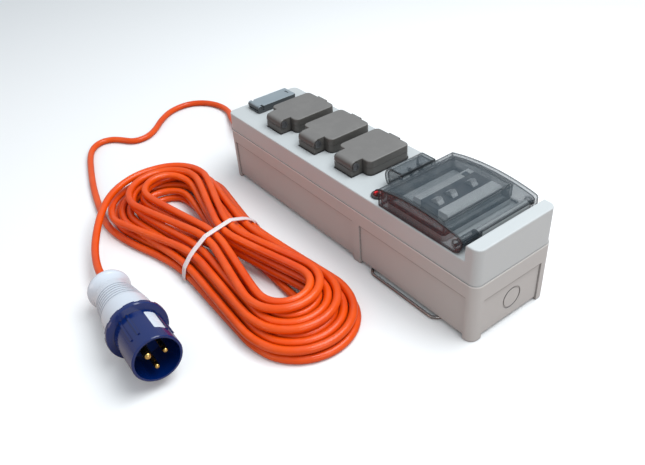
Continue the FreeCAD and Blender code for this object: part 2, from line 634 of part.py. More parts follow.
def outlet_lid(x, number):
    """Sprung cover with a thumb lip, hollow below, and a round nose that turns in the hinge block."""
    half = d.outlet_length / 2
    shell = rounded_box(x - half, x + half, d.outlet_near, d.outlet_far, outlet_lid_base,
                        outlet_lid_top, d.outlet_round)
    nose_half = d.hinge_block_length / 2
    tongue = rounded(box(x - nose_half, x + nose_half, d.hinge_block_near, d.outlet_near + 8,
                         outlet_axis, outlet_lid_top), d.nose_round, nose_edge)
    behind = box(x - nose_half, x + nose_half, d.outlet_hinge_place, d.outlet_near + 8,
                 outlet_lid_base, outlet_lid_top)
    nose = common(rod("x", x - nose_half, d.outlet_hinge_place, outlet_axis, d.nose_radius,
                      d.hinge_block_length),
                  box(x - nose_half, x + nose_half, d.hinge_block_near,
                      d.outlet_hinge_place + d.nose_radius, outlet_axis - d.nose_radius, outlet_axis + 1))
    lip = rounded(box(x - d.lip_length / 2, x + d.lip_length / 2, d.outlet_far - 2,
                      d.outlet_far + d.lip_proud, outlet_lid_top - d.lip_drop - d.lip_height,
                      outlet_lid_top - d.lip_drop), 0.7, along("x"))
    shell = rounded(join(shell, tongue), d.edge_round, lambda e: at_level(outlet_lid_top)(e)
                    and e.BoundBox.YMax > float(d.outlet_near) - 1)
    hollow = rounded_box(x - half + d.lid_wall, x + half - d.lid_wall, d.outlet_near + d.lid_wall,
                         d.outlet_far - d.lid_wall, outlet_lid_base - 1,
                         outlet_lid_top - d.lid_wall, d.outlet_round - d.lid_wall)
    gap_half = d.lug_length / 2 + d.ear_gap
    gap_reach = d.lug_radius + d.nose_clearance
    slot = rod("x", x - gap_half, d.outlet_hinge_place, outlet_axis, gap_reach, gap_half * 2)
    sweep = box(x - gap_half, x + gap_half, d.hinge_block_near + d.nose_skin, d.outlet_near,
                outlet_axis - d.nose_radius - 2, outlet_axis - d.nose_skin * 2)
    arm_gap = hinge_arm(x, d.ear_gap)
    spring_room = rod("x", x + d.lug_length / 2, d.outlet_hinge_place, outlet_axis, spring_reach,
                      spring_room_length)
    bore = rod("x", x - half, d.outlet_hinge_place, outlet_axis,
               d.hinge_pin_radius + d.pin_clearance, d.outlet_length)
    body = join(cut(shell, hollow), behind, nose, lip)
    piece(cut(body, slot, sweep, arm_gap, spring_room, bore), f"socket_lid_{number}")


def nose_edge(edge):
    """True for the top near edge of a lid's tongue."""
    return (at_level(outlet_lid_top)(edge) and along("x")(edge)
            and abs(edge.BoundBox.YMax - float(d.hinge_block_near)) < 0.01)


def outlet_pin(x, number):
    """Hinge pin through the nose and the lug, with a dished round head at each end."""
    half = d.hinge_block_length / 2 + d.ear_gap
    long_half = half + d.pin_head_length
    place = (d.outlet_hinge_place, outlet_axis)
    heads = []
    for start, dish in ((x - long_half, x - long_half - 1), (x + half, x + long_half - 0.6)):
        head = rod("x", start, *place, d.pin_head_radius, d.pin_head_length)
        heads.append(cut(head, rod("x", dish, *place, d.pin_head_radius - 1.5, 1.6)))
    shank = rod("x", x - half - 0.5, *place, d.hinge_pin_radius, half * 2 + 1)
    piece(join(shank, *heads), f"socket_lid_pin_{number}")


def outlet_springs():
    """Three coil springs round the hinge pins, inside the noses of the lids."""
    quarters = int(4 * d.spring_turns.number)
    radius = float(spring_middle)
    step = float(d.spring_length) / quarters
    springs = []
    for x in outlet_places:
        start = Vector(float(x + spring_start + d.spring_wire), float(d.outlet_hinge_place),
                       float(outlet_axis))
        stations = []
        for n in range(quarters + 1):
            turn = math.pi / 2 * n
            place = start + Vector(step * n, radius * math.cos(turn), radius * math.sin(turn))
            heading = Vector(step / (math.pi / 2), -radius * math.sin(turn), radius * math.cos(turn))
            stations.append((place, heading.normalize()))
        springs.append(swept("spring", biarcs(stations), stations[0][1], float(d.spring_wire)))
    grouped("socket_lid_springs", springs)


def outlet_gaskets():
    """Three flat rubber seals between the outlet frames and the deck."""
    seals = []
    for x in outlet_places:
        half = d.outlet_length / 2 + d.gasket_margin
        hole = d.outlet_pocket / 2 + d.outlet_wall + d.slide_clearance
        sheet = rounded_box(x - half, x + half, d.outlet_near - d.gasket_margin,
                            d.outlet_far + d.gasket_margin, lid_top, frame_base,
                            d.outlet_round + d.gasket_margin)
        tongue = box(x - d.hinge_block_length / 2 - d.gasket_margin,
                     x + d.hinge_block_length / 2 + d.gasket_margin,
                     d.hinge_block_near - d.gasket_margin, d.outlet_near + 3, lid_top, frame_base)
        well = box(x - hole, x + hole, outlet_middle - hole, outlet_middle + hole, lid_top - 1,
                   frame_base + 1)
        seals.append(cut(join(sheet, tongue), well))
    grouped("socket_gaskets", seals)


# Charging outlet

charger_top = lid_top + d.charger_frame_height
charger_cover_base = charger_top + d.slide_clearance
charger_cover_top = charger_cover_base + d.charger_cover_height
charger_axis_y = d.charger_near + d.charger_nose_radius
charger_axis_z = charger_cover_base + d.charger_nose_radius
charger_start = d.charger_place - d.charger_length / 2
charger_end = d.charger_place + d.charger_length / 2


def charger_body():
    """Frame on the deck with two hinge lugs at its near end and a well for the port block."""
    frame = rounded_box(charger_start, charger_end, d.charger_near, d.charger_far, lid_top,
                        charger_top, d.charger_round)
    side = d.charger_pocket_length / 2
    wall = d.wall / 2
    well = box(d.charger_place - side - wall, d.charger_place + side + wall,
               d.charger_pocket_near - 1, d.charger_pocket_far + 1,
               lid_top - d.charger_depth, lid_top + 1)
    pocket = box(d.charger_place - side, d.charger_place + side, d.charger_pocket_near,
                 d.charger_pocket_far, lid_top - d.charger_depth + wall, charger_top + 1)
    lugs = []
    for start in (charger_start, charger_end - d.charger_lug_length):
        lugs.append(rod("x", start, charger_axis_y, charger_axis_z, d.charger_nose_radius,
                        d.charger_lug_length))
        lugs.append(box(start, start + d.charger_lug_length, d.charger_near + 0.6,
                        charger_axis_y + d.charger_nose_radius - 0.6, charger_top - 1,
                        charger_axis_z))
    bore = rod("x", charger_start - 1, charger_axis_y, charger_axis_z,
               d.hinge_pin_radius + d.pin_clearance, d.charger_length + 2)
    piece(cut(join(frame, well, *lugs), pocket, bore), "usb_body")


def charger_ports():
    """Places of the two charging ports: (x0, x1, y0, y1)."""
    middle = (d.charger_pocket_near + d.charger_pocket_far) / 2
    ports = []
    for way in (-1, 1):
        centre = middle + way * d.charger_port_pitch / 2
        ports.append((d.charger_place - d.charger_port_height / 2,
                      d.charger_place + d.charger_port_height / 2,
                      centre - d.charger_port_width / 2, centre + d.charger_port_width / 2))
    return ports


def charger_module():
    """Port block that drops into the well."""
    side = d.charger_pocket_length / 2 - d.slide_clearance / 2
    block = box(d.charger_place - side, d.charger_place + side,
                d.charger_pocket_near + d.slide_clearance / 2,
                d.charger_pocket_far - d.slide_clearance / 2,
                lid_top - d.charger_depth + d.wall / 2, charger_top - 0.8)
    ports = []
    for x0, x1, y0, y1 in charger_ports():
        hole = box(x0, x1, y0, y1, charger_top - 13, charger_top + 1)
        tongue = box(d.charger_place - 0.9, d.charger_place + 0.9, y0 + 1, y1 - 1,
                     charger_top - 14, charger_top - 8)
        ports.append(cut(hole, tongue))
    piece(cut(block, *ports), "usb_module")


def charger_cover():
    """Flip cover with a rounded nose round its hinge pin."""
    nose_x = (charger_start + d.charger_lug_length + d.slide_clearance,
              charger_end - d.charger_lug_length - d.slide_clearance)
    clear = charger_axis_y + d.charger_nose_radius + d.barrel_clearance
    lid = rounded_box(charger_start, charger_end, clear, d.charger_far, charger_cover_base,
                      charger_cover_top, 2)
    lid = rounded(lid, 1, at_level(charger_cover_top))
    hollow = box(charger_start + d.lid_wall, charger_end - d.lid_wall, clear + d.lid_wall,
                 d.charger_far - d.lid_wall, charger_cover_base - 1,
                 charger_cover_top - d.lid_wall)
    nose = rod("x", nose_x[0], charger_axis_y, charger_axis_z, d.charger_nose_radius,
               nose_x[1] - nose_x[0])
    neck = box(nose_x[0], nose_x[1], charger_axis_y, clear + 1, charger_cover_base + 1.2,
               charger_axis_z + d.charger_nose_radius)
    slot = box(d.charger_place - 3.5, d.charger_place + 3.5, d.charger_far - 7, d.charger_far - 4.6,
               charger_cover_top - 0.9, charger_cover_top + 1)
    bore = rod("x", charger_start, charger_axis_y, charger_axis_z,
               d.hinge_pin_radius + d.pin_clearance, d.charger_length)
    piece(cut(join(cut(lid, hollow), nose, neck), slot, bore), "usb_cover")


def charger_pin():
    piece(rod("x", charger_start + 0.4, charger_axis_y, charger_axis_z, d.hinge_pin_radius,
              d.charger_length - 0.8), "usb_cover_pin")


# Neon indicator

def neon():
    """Bezel with a threaded stem, a domed lens in it and the retaining nut under the deck."""
    place = (d.neon_place, neon_across)
    flange = rounded(rod("z", *place, lid_top, d.neon_bezel_radius, d.neon_bezel_height), 0.9,
                     at_level(lid_top + d.neon_bezel_height))
    stem = rod("z", *place, lid_top - d.neon_stem_depth, d.neon_stem_radius, d.neon_stem_depth + 1)
    bore = join(rod("z", *place, lid_top - d.neon_stem_depth - 1, d.neon_stem_radius - 1.2,
                    d.neon_stem_depth + 5),
                rod("z", *place, lid_top + 0.8, d.neon_lens_radius + 0.1, 5))
    piece(cut(join(flange, stem), bore), "neon_bezel")
    disc = rod("z", *place, lid_top + 0.8, d.neon_lens_radius, 1.8)
    dome = doc.addObject("Part::Ellipsoid", "dome")
    bind(dome, "Radius1", d.neon_lens_height - 0.8)
    bind(dome, "Radius2", d.neon_lens_radius - 0.2)
    bind(dome, "Radius3", d.neon_lens_radius - 0.2)
    dome.Angle1 = 0
    put(dome, *place, lid_top + 2.4)
    lamp = rod("z", *place, lid_top - d.neon_stem_depth, 2.2, d.neon_stem_depth + 1)
    piece(join(disc, dome, lamp), "neon_lens")
    nut = cut(rod("z", *place, lid_ceiling - 2.6, d.neon_stem_radius + 2.4, 2.6),
              rod("z", *place, lid_ceiling - 4, d.neon_stem_radius + d.pin_clearance, 6))
    piece(nut, "neon_nut")


# Breakers

def module_outline(back):
    """Side view of a rail-mounted device: (x, z) with its rail slot, shoulders and nose."""
    low = back
    start = d.rail_place - d.module_length / 2
    end = d.rail_place + d.module_length / 2
    slot = d.rail_width / 2 + d.slide_clearance / 2
    rail_top = rail_level + d.rail_height
    return [(start, low), (d.rail_place - slot, low), (d.rail_place - slot, rail_top + 0.2),
            (d.rail_place + slot, rail_top + 0.2), (d.rail_place + slot, low), (end, low),
            (end, shoulder_top), (nose_end, shoulder_top),
            (nose_end, nose_top - 2), (nose_end - 2, nose_top), (nose_start + 2, nose_top),
            (nose_start, nose_top - 2), (nose_start, shoulder_top),
            (start, shoulder_top)]


toggle_axis = nose_top - d.toggle_drop


def toggle_bay(y):
    """Hollow in a nose for a toggle, with its pivot bore."""
    half = d.toggle_width / 2 + d.slide_clearance
    drum = rod("y", d.rail_place, y - half, toggle_axis, d.toggle_radius + d.slide_clearance,
               half * 2)
    bore = rod("y", d.rail_place, y - half - 4, toggle_axis, d.toggle_pin_radius + d.pin_clearance,
               half * 2 + 8)
    return [drum, bore]


def breaker(number):
    """One-module breaker."""
    y0 = d.module_near + d.module_pitch * (number - 1)
    middle = y0 + d.module_pitch / 2
    body = extruded("XZ", module_outline(rail_level + 1.4), y0, y0 + d.module_pitch)
    piece(cut(body, *toggle_bay(middle)), f"mcb_{number}")
    toggle(middle, f"mcb_toggle_{number}")


def toggle(y, label):
    """Drum with a raised thumb bar that rocks along the box on its own trunnions."""
    half = d.toggle_width / 2
    drum = rod("y", d.rail_place, y - half, toggle_axis, d.toggle_radius, d.toggle_width)
    reach = d.toggle_height
    bar = extruded("XZ", [(d.rail_place - 4, toggle_axis), (d.rail_place + 4, toggle_axis),
                          (d.rail_place + 3.4, toggle_axis + reach - 1.2, 3),
                          (d.rail_place - 0.4, toggle_axis + reach)], y - half, y + half)
    trunnion = rod("y", d.rail_place, y - half - 3.6, toggle_axis, d.toggle_pin_radius,
                   d.toggle_width + 7.2)
    piece(join(drum, bar, trunnion), label)


def residual_breaker():
    """Two-module residual-current device with a toggle and a test button."""
    y0 = d.module_near + d.module_pitch * 2
    y1 = y0 + d.module_pitch * 2
    middle = (y0 + y1) / 2
    body = extruded("XZ", module_outline(rail_level + 1.4), y0 + 0.05, y1)
    half = d.test_button_size / 2
    x = nose_start + 8
    y = middle + 8.5
    gap = d.slide_clearance
    well = box(x - half - gap, x + half + gap, y - half - gap, y + half + gap,
               nose_top - d.test_button_depth - 3, nose_top + 1)
    piece(cut(body, well, *toggle_bay(middle)), "rcd_body")
    toggle(middle, "rcd_toggle")
    button = rounded(box(x - half, x + half, y - half, y + half, nose_top - d.test_button_depth,
                         nose_top + d.test_button_proud), 0.6,
                     at_level(nose_top + d.test_button_proud))
    piece(button, "rcd_test_button")


def breaker_rail():
    """Top-hat rail across the box and the two screws that hold it to its posts."""
    low = rail_level
    half = d.rail_width / 2
    sheet = d.rail_sheet
    crown = half - 4.2
    top = low + d.rail_height
    profile = [(-half, top - sheet), (-crown, top - sheet), (-crown, low), (crown, low),
               (crown, top - sheet), (half, top - sheet), (half, top), (crown - sheet, top),
               (crown - sheet, low + sheet), (-crown + sheet, low + sheet), (-crown + sheet, top),
               (-half, top)]
    rail = extruded("XZ", [(d.rail_place + x, z) for x, z in profile], rail_near, rail_far)
    holes = [rod("z", d.rail_place, y, low - 1, d.screw_radius + d.screw_clearance, sheet + 2)
             for y in rail_screw_places]
    piece(cut(rail, *holes), "din_rail")
    screws = []
    for y in rail_screw_places:
        screws.append(join(rod("z", d.rail_place, y, low + sheet, d.rail_screw_head, 2.2),
                           rod("z", d.rail_place, y, low - d.rail_screw_length,
                               d.screw_radius - d.pin_clearance, d.rail_screw_length + sheet + 0.5)))
    grouped("rail_screws", screws)


def terminal_bars():
    """Brass earth and neutral bars with clamp screws, on posts of the base floor."""
    x = d.terminal_bar_place
    top = floor_top + d.terminal_bar_height
    count = int(d.terminal_count.number)
    first = x + (d.terminal_bar_length - d.terminal_pitch * (count - 1)) / 2
    for label, y in (("earth_bar", earth_bar_near), ("neutral_bar", neutral_bar_near)):
        bar = box(x, x + d.terminal_bar_length, y, y + d.terminal_bar_width, floor_top, top)
        places = [first + d.terminal_pitch * n for n in range(count)]
        holes = [rod("y", place, y - 1, top - 4, d.terminal_bore, d.terminal_bar_width + 2)
                 for place in places]
        heads = [rod("z", place, y + d.terminal_bar_width / 2, top - 1.6, d.terminal_bore + 0.1, 2.6)
                 for place in places]
        piece(join(cut(bar, *holes), *heads), label)


# Clear flap

def flap():
    """Arched smoked cover with a skirt, end walls, hinge knuckles, a thumb tab and two hooks."""
    base = lid_top + d.flap_gap
    x0, x1 = d.flap_start, d.flap_end
    wall = d.flap_wall
    rise = float(d.flap_rise)
    chord = float(x1 - x0) - 2.4
    crown_radius = (chord * chord / 4 + rise * rise) / (2 * rise)
    outer = [(x0, base), (d.flap_hinge_place - 1, base), (x1 - 3.4, base + 2.4, 12),
             (x1, base + 9), (x1, flap_side_top - 3.6, 4), (x1 - 2.4, flap_side_top, crown_radius),
             (x0, flap_side_top)]
    inner = [(x0 + wall, base - 4), (d.flap_hinge_place - 3, base - 4),
             (x1 - 3.4 - wall, base + 3.6), (x1 - wall, base + 9.6),
             (x1 - wall, flap_side_top - 4.2),
             (x1 - 2.4 - wall, flap_side_top - wall, crown_radius - float(wall)),
             (x0 + wall, flap_side_top - wall)]
    half = d.flap_half_width
    shell = cut(extruded("XZ", outer, -half, half), extruded("XZ", inner, -half + wall, half - wall))
    solid = extruded("XZ", outer, -half, half)
    inset = d.skirt_inset
    skirt_low = collar_top + d.collar_seal + d.slide_clearance
    skirt_out = box(d.collar_start + inset, d.collar_end - inset, -d.collar_half_width + inset,
                    d.collar_half_width - inset, skirt_low, flap_crown + 2)
    margin = inset + d.skirt_wall
    skirt_in = box(d.collar_start + margin, d.collar_end - margin, -d.collar_half_width + margin,
                   d.collar_half_width - margin, skirt_low - 1, flap_crown + 3)
    skirt = common(cut(skirt_out, skirt_in), solid)
    knuckles = []
    for y0, y1 in ((-half, d.lug_near - d.ear_gap), (d.lug_far + d.ear_gap, half)):
        knuckles.append(rod("y", d.flap_hinge_place, y0, flap_axis,
                            d.flap_barrel_radius, y1 - y0))
        knuckles.append(box(d.flap_hinge_place, x1 - 1, y0, y1,
                            flap_axis - 1, flap_axis + 1))
    clear = d.barrel_clearance
    notch = join(rod("y", d.flap_hinge_place, d.lug_near - d.ear_gap, flap_axis,
                     d.flap_barrel_radius + clear, d.lug_far - d.lug_near + 2 * d.ear_gap),
                 box(d.flap_hinge_place - 8, x1 + 1, d.lug_near - d.ear_gap, d.lug_far + d.ear_gap,
                     base - 6, flap_axis + d.lug_half_width + 2))
    bore = rod("y", d.flap_hinge_place, -half + wall / 2, flap_axis,
               d.hinge_pin_radius + d.pin_clearance, half * 2 - wall)
    start = x0 - d.tab_reach
    low = tab_top - d.tab_drop
    front = [(x0 + 0.8, low), (x0 + 0.8, tab_top), (start + 8, tab_top, 11.5),
             (start + 1, low + 6, 12), (start + 4, low)]
    tab_end = x0 + 0.8 - d.tab_end_wall
    front_in = [(tab_end, low - 1), (tab_end, tab_top - wall),
                (start + 8.6, tab_top - wall, 9.5), (start + 1 + wall, low + 6, 10),
                (start + 4 + wall, low - 1)]
    tab = cut(extruded("XZ", front, d.tab_near, d.tab_far),
              extruded("XZ", front_in, d.tab_near + wall, d.tab_far - wall))
    hook_x = x0 - d.hook_reach
    hooks = []
    for y in (d.hook_near, d.hook_far):
        fin = [(hook_x, tab_top - 8), (x0 + 0.5, tab_top - 12), (x0 + 0.5, tab_top - 1),
               (hook_x, tab_top - 1)]
        hooks.append(extruded("XZ", fin, y, y + d.hook_thickness))
    body = join(shell, skirt, *knuckles, tab, *hooks)
    piece(cut(body, notch, bore), "window_flap")


def flap_pin():
    """One long pin through the lug and both knuckles."""
    wall = d.flap_wall
    piece(rod("y", d.flap_hinge_place, -d.flap_half_width + wall / 2 + 0.3, flap_axis,
              d.hinge_pin_radius, d.flap_half_width * 2 - wall - 0.6), "window_hinge_pin")


def flap_gasket():
    """Foam seal on the collar, under the skirt."""
    rims = []
    for inset, drop in ((0.3, 0), (3, 1)):
        rims.append(rounded_box(d.collar_start + inset, d.collar_end - inset,
                                -d.collar_half_width + inset, d.collar_half_width - inset,
                                collar_top - drop, collar_top + d.collar_seal + drop,
                                3.6 if drop == 0 else 1.4))
    piece(cut(*rims), "window_gasket")


# Paths of round wire and cord

def arc_middle(start, heading, end):
    """Middle point of the arc that leaves start along heading and arrives at end."""
    chord = end - start
    across = heading - chord * (heading.dot(chord) / chord.dot(chord))
    if across.Length < 1e-7:
        return None
    angle = math.atan2(across.Length, heading.dot(chord) / chord.Length)
    return start + chord * 0.5 + across.normalize() * (chord.Length / 2 * math.tan(angle / 2))


def arc_edge(start, heading, end):
    middle = arc_middle(start, heading, end)
    if middle is None:
        return Part.LineSegment(start, end).toShape()
    return Part.Arc(start, middle, end).toShape()


def run_path(points, share=0.45, widest=None):
    """Straight runs joined by tangent arcs. Gives the edges and the radius of each arc."""
    edges = []
    radii = []
    last = points[0]
    for before, corner, after in zip(points, points[1:], points[2:]):
        back = (before - corner)
        ahead = (after - corner)
        turn = math.pi - back.getAngle(ahead)
        trim = share * min(back.Length, ahead.Length)
        radius = trim / math.tan(turn / 2)
        if widest and radius > widest:
            radius = widest
            trim = radius * math.tan(turn / 2)
        start = corner + back.normalize() * trim
        end = corner + ahead.normalize() * trim
        edges.append(Part.LineSegment(last, start).toShape())
        edges.append(arc_edge(start, -back, end))
        radii.append(radius)
        last = end
    edges.append(Part.LineSegment(last, points[-1]).toShape())
    return edges, radii


def swept(label, edges, heading, radius):
    """A round bar along joined edges, checked against its section times its length."""
    path = Part.Wire(edges)
    circle = Part.Wire([Part.Circle(path.OrderedVertexes[0].Point, heading, radius).toShape()])
    shape = path.makePipeShell([circle], True, False)
    wanted = math.pi * radius * radius * path.Length
    if abs(shape.Volume / wanted - 1) > 0.01:
        raise RuntimeError(f"{label}: volume {shape.Volume:.0f}, wanted {wanted:.0f}")
    thing = doc.addObject("Part::Feature", label)
    thing.Shape = shape
    return thing


def tube(label, edges, heading, radius):
    """One wire or cord in its own node."""
    print(f"{label}: length {sum(edge.Length for edge in edges):.0f} mm")
    return piece(swept(label, edges, heading, radius), label)


def points_of(route):
    return [Vector(*(float(value) for value in place)) for place in route]


def wire_bail():
    """Bent wire with two inward feet that turn in the bosses under the base."""
    near = -(d.bail_reach - d.bail_wire)
    level = d.bail_height
    route = points_of([(d.bail_start + d.bail_foot, d.bail_pivot, level),
                       (d.bail_start, d.bail_pivot, level), (d.bail_start, near, level),
                       (d.bail_end, near, level), (d.bail_end, d.bail_pivot, level),
                       (d.bail_end - d.bail_foot, d.bail_pivot, level)])
    edges = []
    last = route[0]
    bends = (3, d.bail_round, d.bail_round, 3)
    for before, corner, after, bend in zip(route, route[1:], route[2:], bends):
        back = (before - corner).normalize()
        ahead = (after - corner).normalize()
        start = corner + back * float(bend)
        end = corner + ahead * float(bend)
        edges += [Part.LineSegment(last, start).toShape(), arc_edge(start, -back, end)]
        last = end
    edges.append(Part.LineSegment(last, route[-1]).toShape())
    tube("wire_bail", edges, Vector(-1, 0, 0), float(d.bail_wire))


# Cable gland

def gland():
    """Gland through the far end wall: body, seal, tapered nut and inner locknut."""
    y, z = d.knockout_place, d.knockout_height
    face = gland_wall
    core = d.cord_diameter / 2 + d.gland_clearance
    hex_half = d.gland_hex / 2
    hex_radius = hex_half / math.cos(math.pi / 6)

    def hexagon(label_x, radius, thickness):
        prism = doc.addObject("Part::Prism", "hexagon")
        prism.Polygon = 6
        bind(prism, "Circumradius", radius)
        bind(prism, "Height", thickness)
        prism.Placement = FreeCAD.Placement(Vector(), TURN_TO["x"])
        return put(prism, label_x, y, z)

    flange = hexagon(face - d.gland_hex_thickness, hex_radius, d.gland_hex_thickness)
    thread = rod("x", face - 1, y, z, d.gland_thread_radius, skin + d.gland_inside)
    neck = rod("x", face - d.gland_hex_thickness - 8, y, z, d.gland_thread_radius - 1, 9)
    bore = rod("x", face - 30, y, z, core + 2.2, 60)
    piece(cut(join(flange, thread, neck), bore), "gland_body")
    seal_start = face - d.gland_hex_thickness - 8
    seal = cut(rod("x", seal_start, y, z, core + 2, d.gland_seal_length),
               rod("x", seal_start - 1, y, z, core, d.gland_seal_length + 2))
    piece(seal, "gland_seal")
    nut_end = face - d.gland_hex_thickness - 0.3
    nut_start = nut_end - d.gland_nut_length
    shell = join(rod("x", nut_start, y, z, d.gland_nut_radius, d.gland_nut_length),
                 cone("x", nut_start - d.gland_tail_length, y, z, d.gland_tail_radius,
                      d.gland_nut_radius, d.gland_tail_length))
    ribs = []
    for n in range(12):
        rib = rod("x", nut_start, y, z + d.gland_nut_radius, 0.9, d.gland_nut_length)
        rib.Placement = FreeCAD.Placement(Vector(0, float(y), float(z)), Rotation(Vector(1, 0, 0), 30 * n),
                                          Vector()).multiply(
            FreeCAD.Placement(Vector(float(nut_start), 0, float(d.gland_nut_radius)), TURN_TO["x"]))
        for axis in "xyz":
            rib.setExpression(f"Placement.Base.{axis}", None)
        ribs.append(rib)
    hollow = join(rod("x", nut_start - d.gland_tail_length - 1, y, z, core, 60),
                  rod("x", seal_start - 0.5, y, z, d.gland_thread_radius - 1 + 0.1,
                      nut_end - seal_start + 2))
    piece(cut(join(shell, *ribs), hollow), "gland_dome_nut")
    inside = face + skin - d.panel_depth + 0.1
    locknut = cut(hexagon(inside, d.gland_locknut / 2, d.gland_locknut_thickness),
                  rod("x", inside - 1, y, z, d.gland_thread_radius + 0.05,
                      d.gland_locknut_thickness + 2))
    piece(locknut, "gland_locknut")
    return float(nut_start - d.gland_tail_length)


# Cord: its two free stretches and its hank

def hank_station(progress, layer_height):
    """Place and heading of the cord at a station of the hank.

    progress counts laps along the cord from the waist on the near side, eight stations a lap.
    """
    laps = int(d.hank_laps_per_layer.number)
    fold = progress % (2 * laps)
    spread = laps - fold if fold <= laps else fold - laps
    side = float(d.hank_lobe_half_width) - (laps - spread) * float(d.hank_side_step)
    waist = float(d.hank_waist_half_width) - (laps - spread) * float(d.hank_waist_step)
    far = float(d.hank_far_tip) + (laps - spread) * float(d.hank_far_step)
    near = float(d.hank_near_tip) - (laps - spread) * float(d.hank_near_step)
    middle = float(d.hank_middle)
    skew = float(d.hank_tip_skew) * spread
    waist_x = float(d.hank_waist_place)
    tie_lift = float(d.hank_tie_lift)
    ahead, up, back, down = Vector(1, 0, 0), Vector(0, 1, 0), Vector(-1, 0, 0), Vector(0, -1, 0)
    stations = [
        (waist_x, middle - waist, tie_lift, ahead),
        (near - side, middle - side, 0, ahead),
        (near, middle - skew, 0, up),
        (near - side, middle + side, 0, back),
        (waist_x, middle + waist, tie_lift, back),
        (far + side, middle + side, 0, back),
        (far, middle + skew, 0, down),
        (far + side, middle - side, 0, ahead),
    ]
    x, y, lift, heading = stations[int(round(progress * 8)) % 8]
    return Vector(x, y, float(d.cord_diameter) / 2 + lift + layer_height), heading


def layer_height(progress):
    """Height of the layer: it climbs in the half lap centred on each turn of the spiral."""
    laps = d.hank_laps_per_layer.number
    height = 0.0
    for turn in range(1, int(d.hank_layers.number)):
        along_climb = (progress - (turn * laps - 0.25)) / 0.5
        height += min(max(along_climb, 0), 1)
    return height * float(d.hank_layer_step)


def hank_places():
    total = int(8 * (d.hank_laps_per_layer.number * d.hank_layers.number - 0.25))
    return [hank_station(n / 8, layer_height(n / 8)) for n in range(total + 1)]


def biarc(start, heading, end, leaving):
    """Two tangent arcs from one place and heading to the next."""
    chord = end - start
    both = heading + leaving
    spread = 2 * (1 - heading.dot(leaving))
    if spread < 1e-9:
        reach = chord.dot(chord) / (4 * chord.dot(leaving))
    else:
        root = math.sqrt(chord.dot(both) ** 2 + spread * chord.dot(chord))
        reach = (root - chord.dot(both)) / spread
    middle = (start + heading * reach + end - leaving * reach) * 0.5
    turn = (middle - start - heading * reach).normalize()
    return [arc_edge(start, heading, middle), arc_edge(middle, turn, end)]


def biarcs(stations):
    """Arcs through a list of (place, heading)."""
    edges = []
    for (start, heading), (end, leaving) in zip(stations, stations[1:]):
        edges += biarc(start, heading, end, leaving)
    return edges


def least_gap(edges, diameter, step=3.0):
    """Least distance between stretches of a path that lie apart along it, less the diameter."""
    places = []
    travelled = 0.0
    for edge in edges:
        count = max(2, int(edge.Length / step))
        for point in edge.discretize(count + 1)[:-1]:
            places.append(point)
        travelled += edge.Length
    spacing = travelled / len(places)
    apart = int(60 / spacing)
    cell = 14.0
    grid = {}
    for n, point in enumerate(places):
        grid.setdefault((int(point.x // cell), int(point.y // cell), int(point.z // cell)), []).append(n)
    least = 1000.0
    for (i, j, k), members in grid.items():
        around = [n for a in (-1, 0, 1) for b in (-1, 0, 1) for c in (-1, 0, 1)
                  for n in grid.get((i + a, j + b, k + c), [])]
        for first in members:
            for second in around:
                if second - first <= apart or second + 1 >= len(places):
                    continue
                base, tip = places[second], places[second + 1]
                run = tip - base
                share = min(max((places[first] - base).dot(run) / run.dot(run), 0), 1)
                least = min(least, (places[first] - base - run * share).Length)
    return least - diameter


# Stations of the lead on the floor and up to the plug, in steps of lay_step.
FLOOR_LAY = [(-41.2, 2.4), (-43.6, -0.4), (-43.1, -3.6), (-41.4, -6.4), (-38.6, -10.2), (-41.4, -13.6),
             (-39.4, -17.0), (-34.6, -19.8), (-29.6, -21.8), (-24.8, -23.4), (-20.0, -24.0),
             (-15.6, -23.2)]
PLUG_LAY = [(-22.4, -20.8, 3.05), (-20.5, -23.2, 2.7), (-18.1, -25.2, 2.15), (-15.0, -27.1, 1.5)]


def cord(gland_end, tail_point, tail_heading):
    """The lead from the gland to the hank, the hank, and the lead on to the plug."""
    step = float(d.lay_step)
    radius = float(d.cord_diameter) / 2
    low = radius + 0.05
    y, z = float(d.knockout_place), float(d.knockout_height)
    stations = hank_places()
    hank_edges = biarcs(stations)
    first, first_heading = stations[0]
    last, last_heading = stations[-1]
    from_box = points_of([
        (gland_end, y, z), (gland_end - 2.4 * step, y, z),
        (gland_end - 5.8 * step, y + 0.4 * step, 1.55 * step),
        (gland_end - 9.6 * step, y + 1.6 * step, low + 0.06 * step),
        (gland_end - 12.8 * step, y + 2.6 * step, low)])
    from_box += points_of([(across * step, along_y * step, low) for across, along_y in FLOOR_LAY])
    rise = Vector(0, -0.15 * step, -float(d.hank_tie_lift))
    from_box += [first - first_heading * 4.2 * step + rise, first]
    edges, radii = run_path(from_box)
    tube("cable_from_box", edges, Vector(-1, 0, 0), radius)
    print("cable_from_box radii " + " ".join(f"{value:.0f}" for value in radii))
    tube("cable_hank", hank_edges, first_heading, radius)
    print(f"cable_hank least self-gap {least_gap(hank_edges, 2 * radius):.2f} mm")
    tightest = min(edge.Curve.Radius for edge in hank_edges if hasattr(edge.Curve, "Radius"))
    print(f"cable_hank tightest radius {tightest:.1f} mm")
    to_plug = [last, last + last_heading * 2.6 * step + Vector(0.05 * step, 0, 0.06 * step)]
    to_plug += points_of([[value * step for value in place] for place in PLUG_LAY])
    to_plug += [tail_point - tail_heading * 4 * step, tail_point]
    edges, radii = run_path(to_plug)
    tube("cable_to_plug", edges, last_heading, radius)
    print("cable_to_plug radii " + " ".join(f"{value:.0f}" for value in radii))


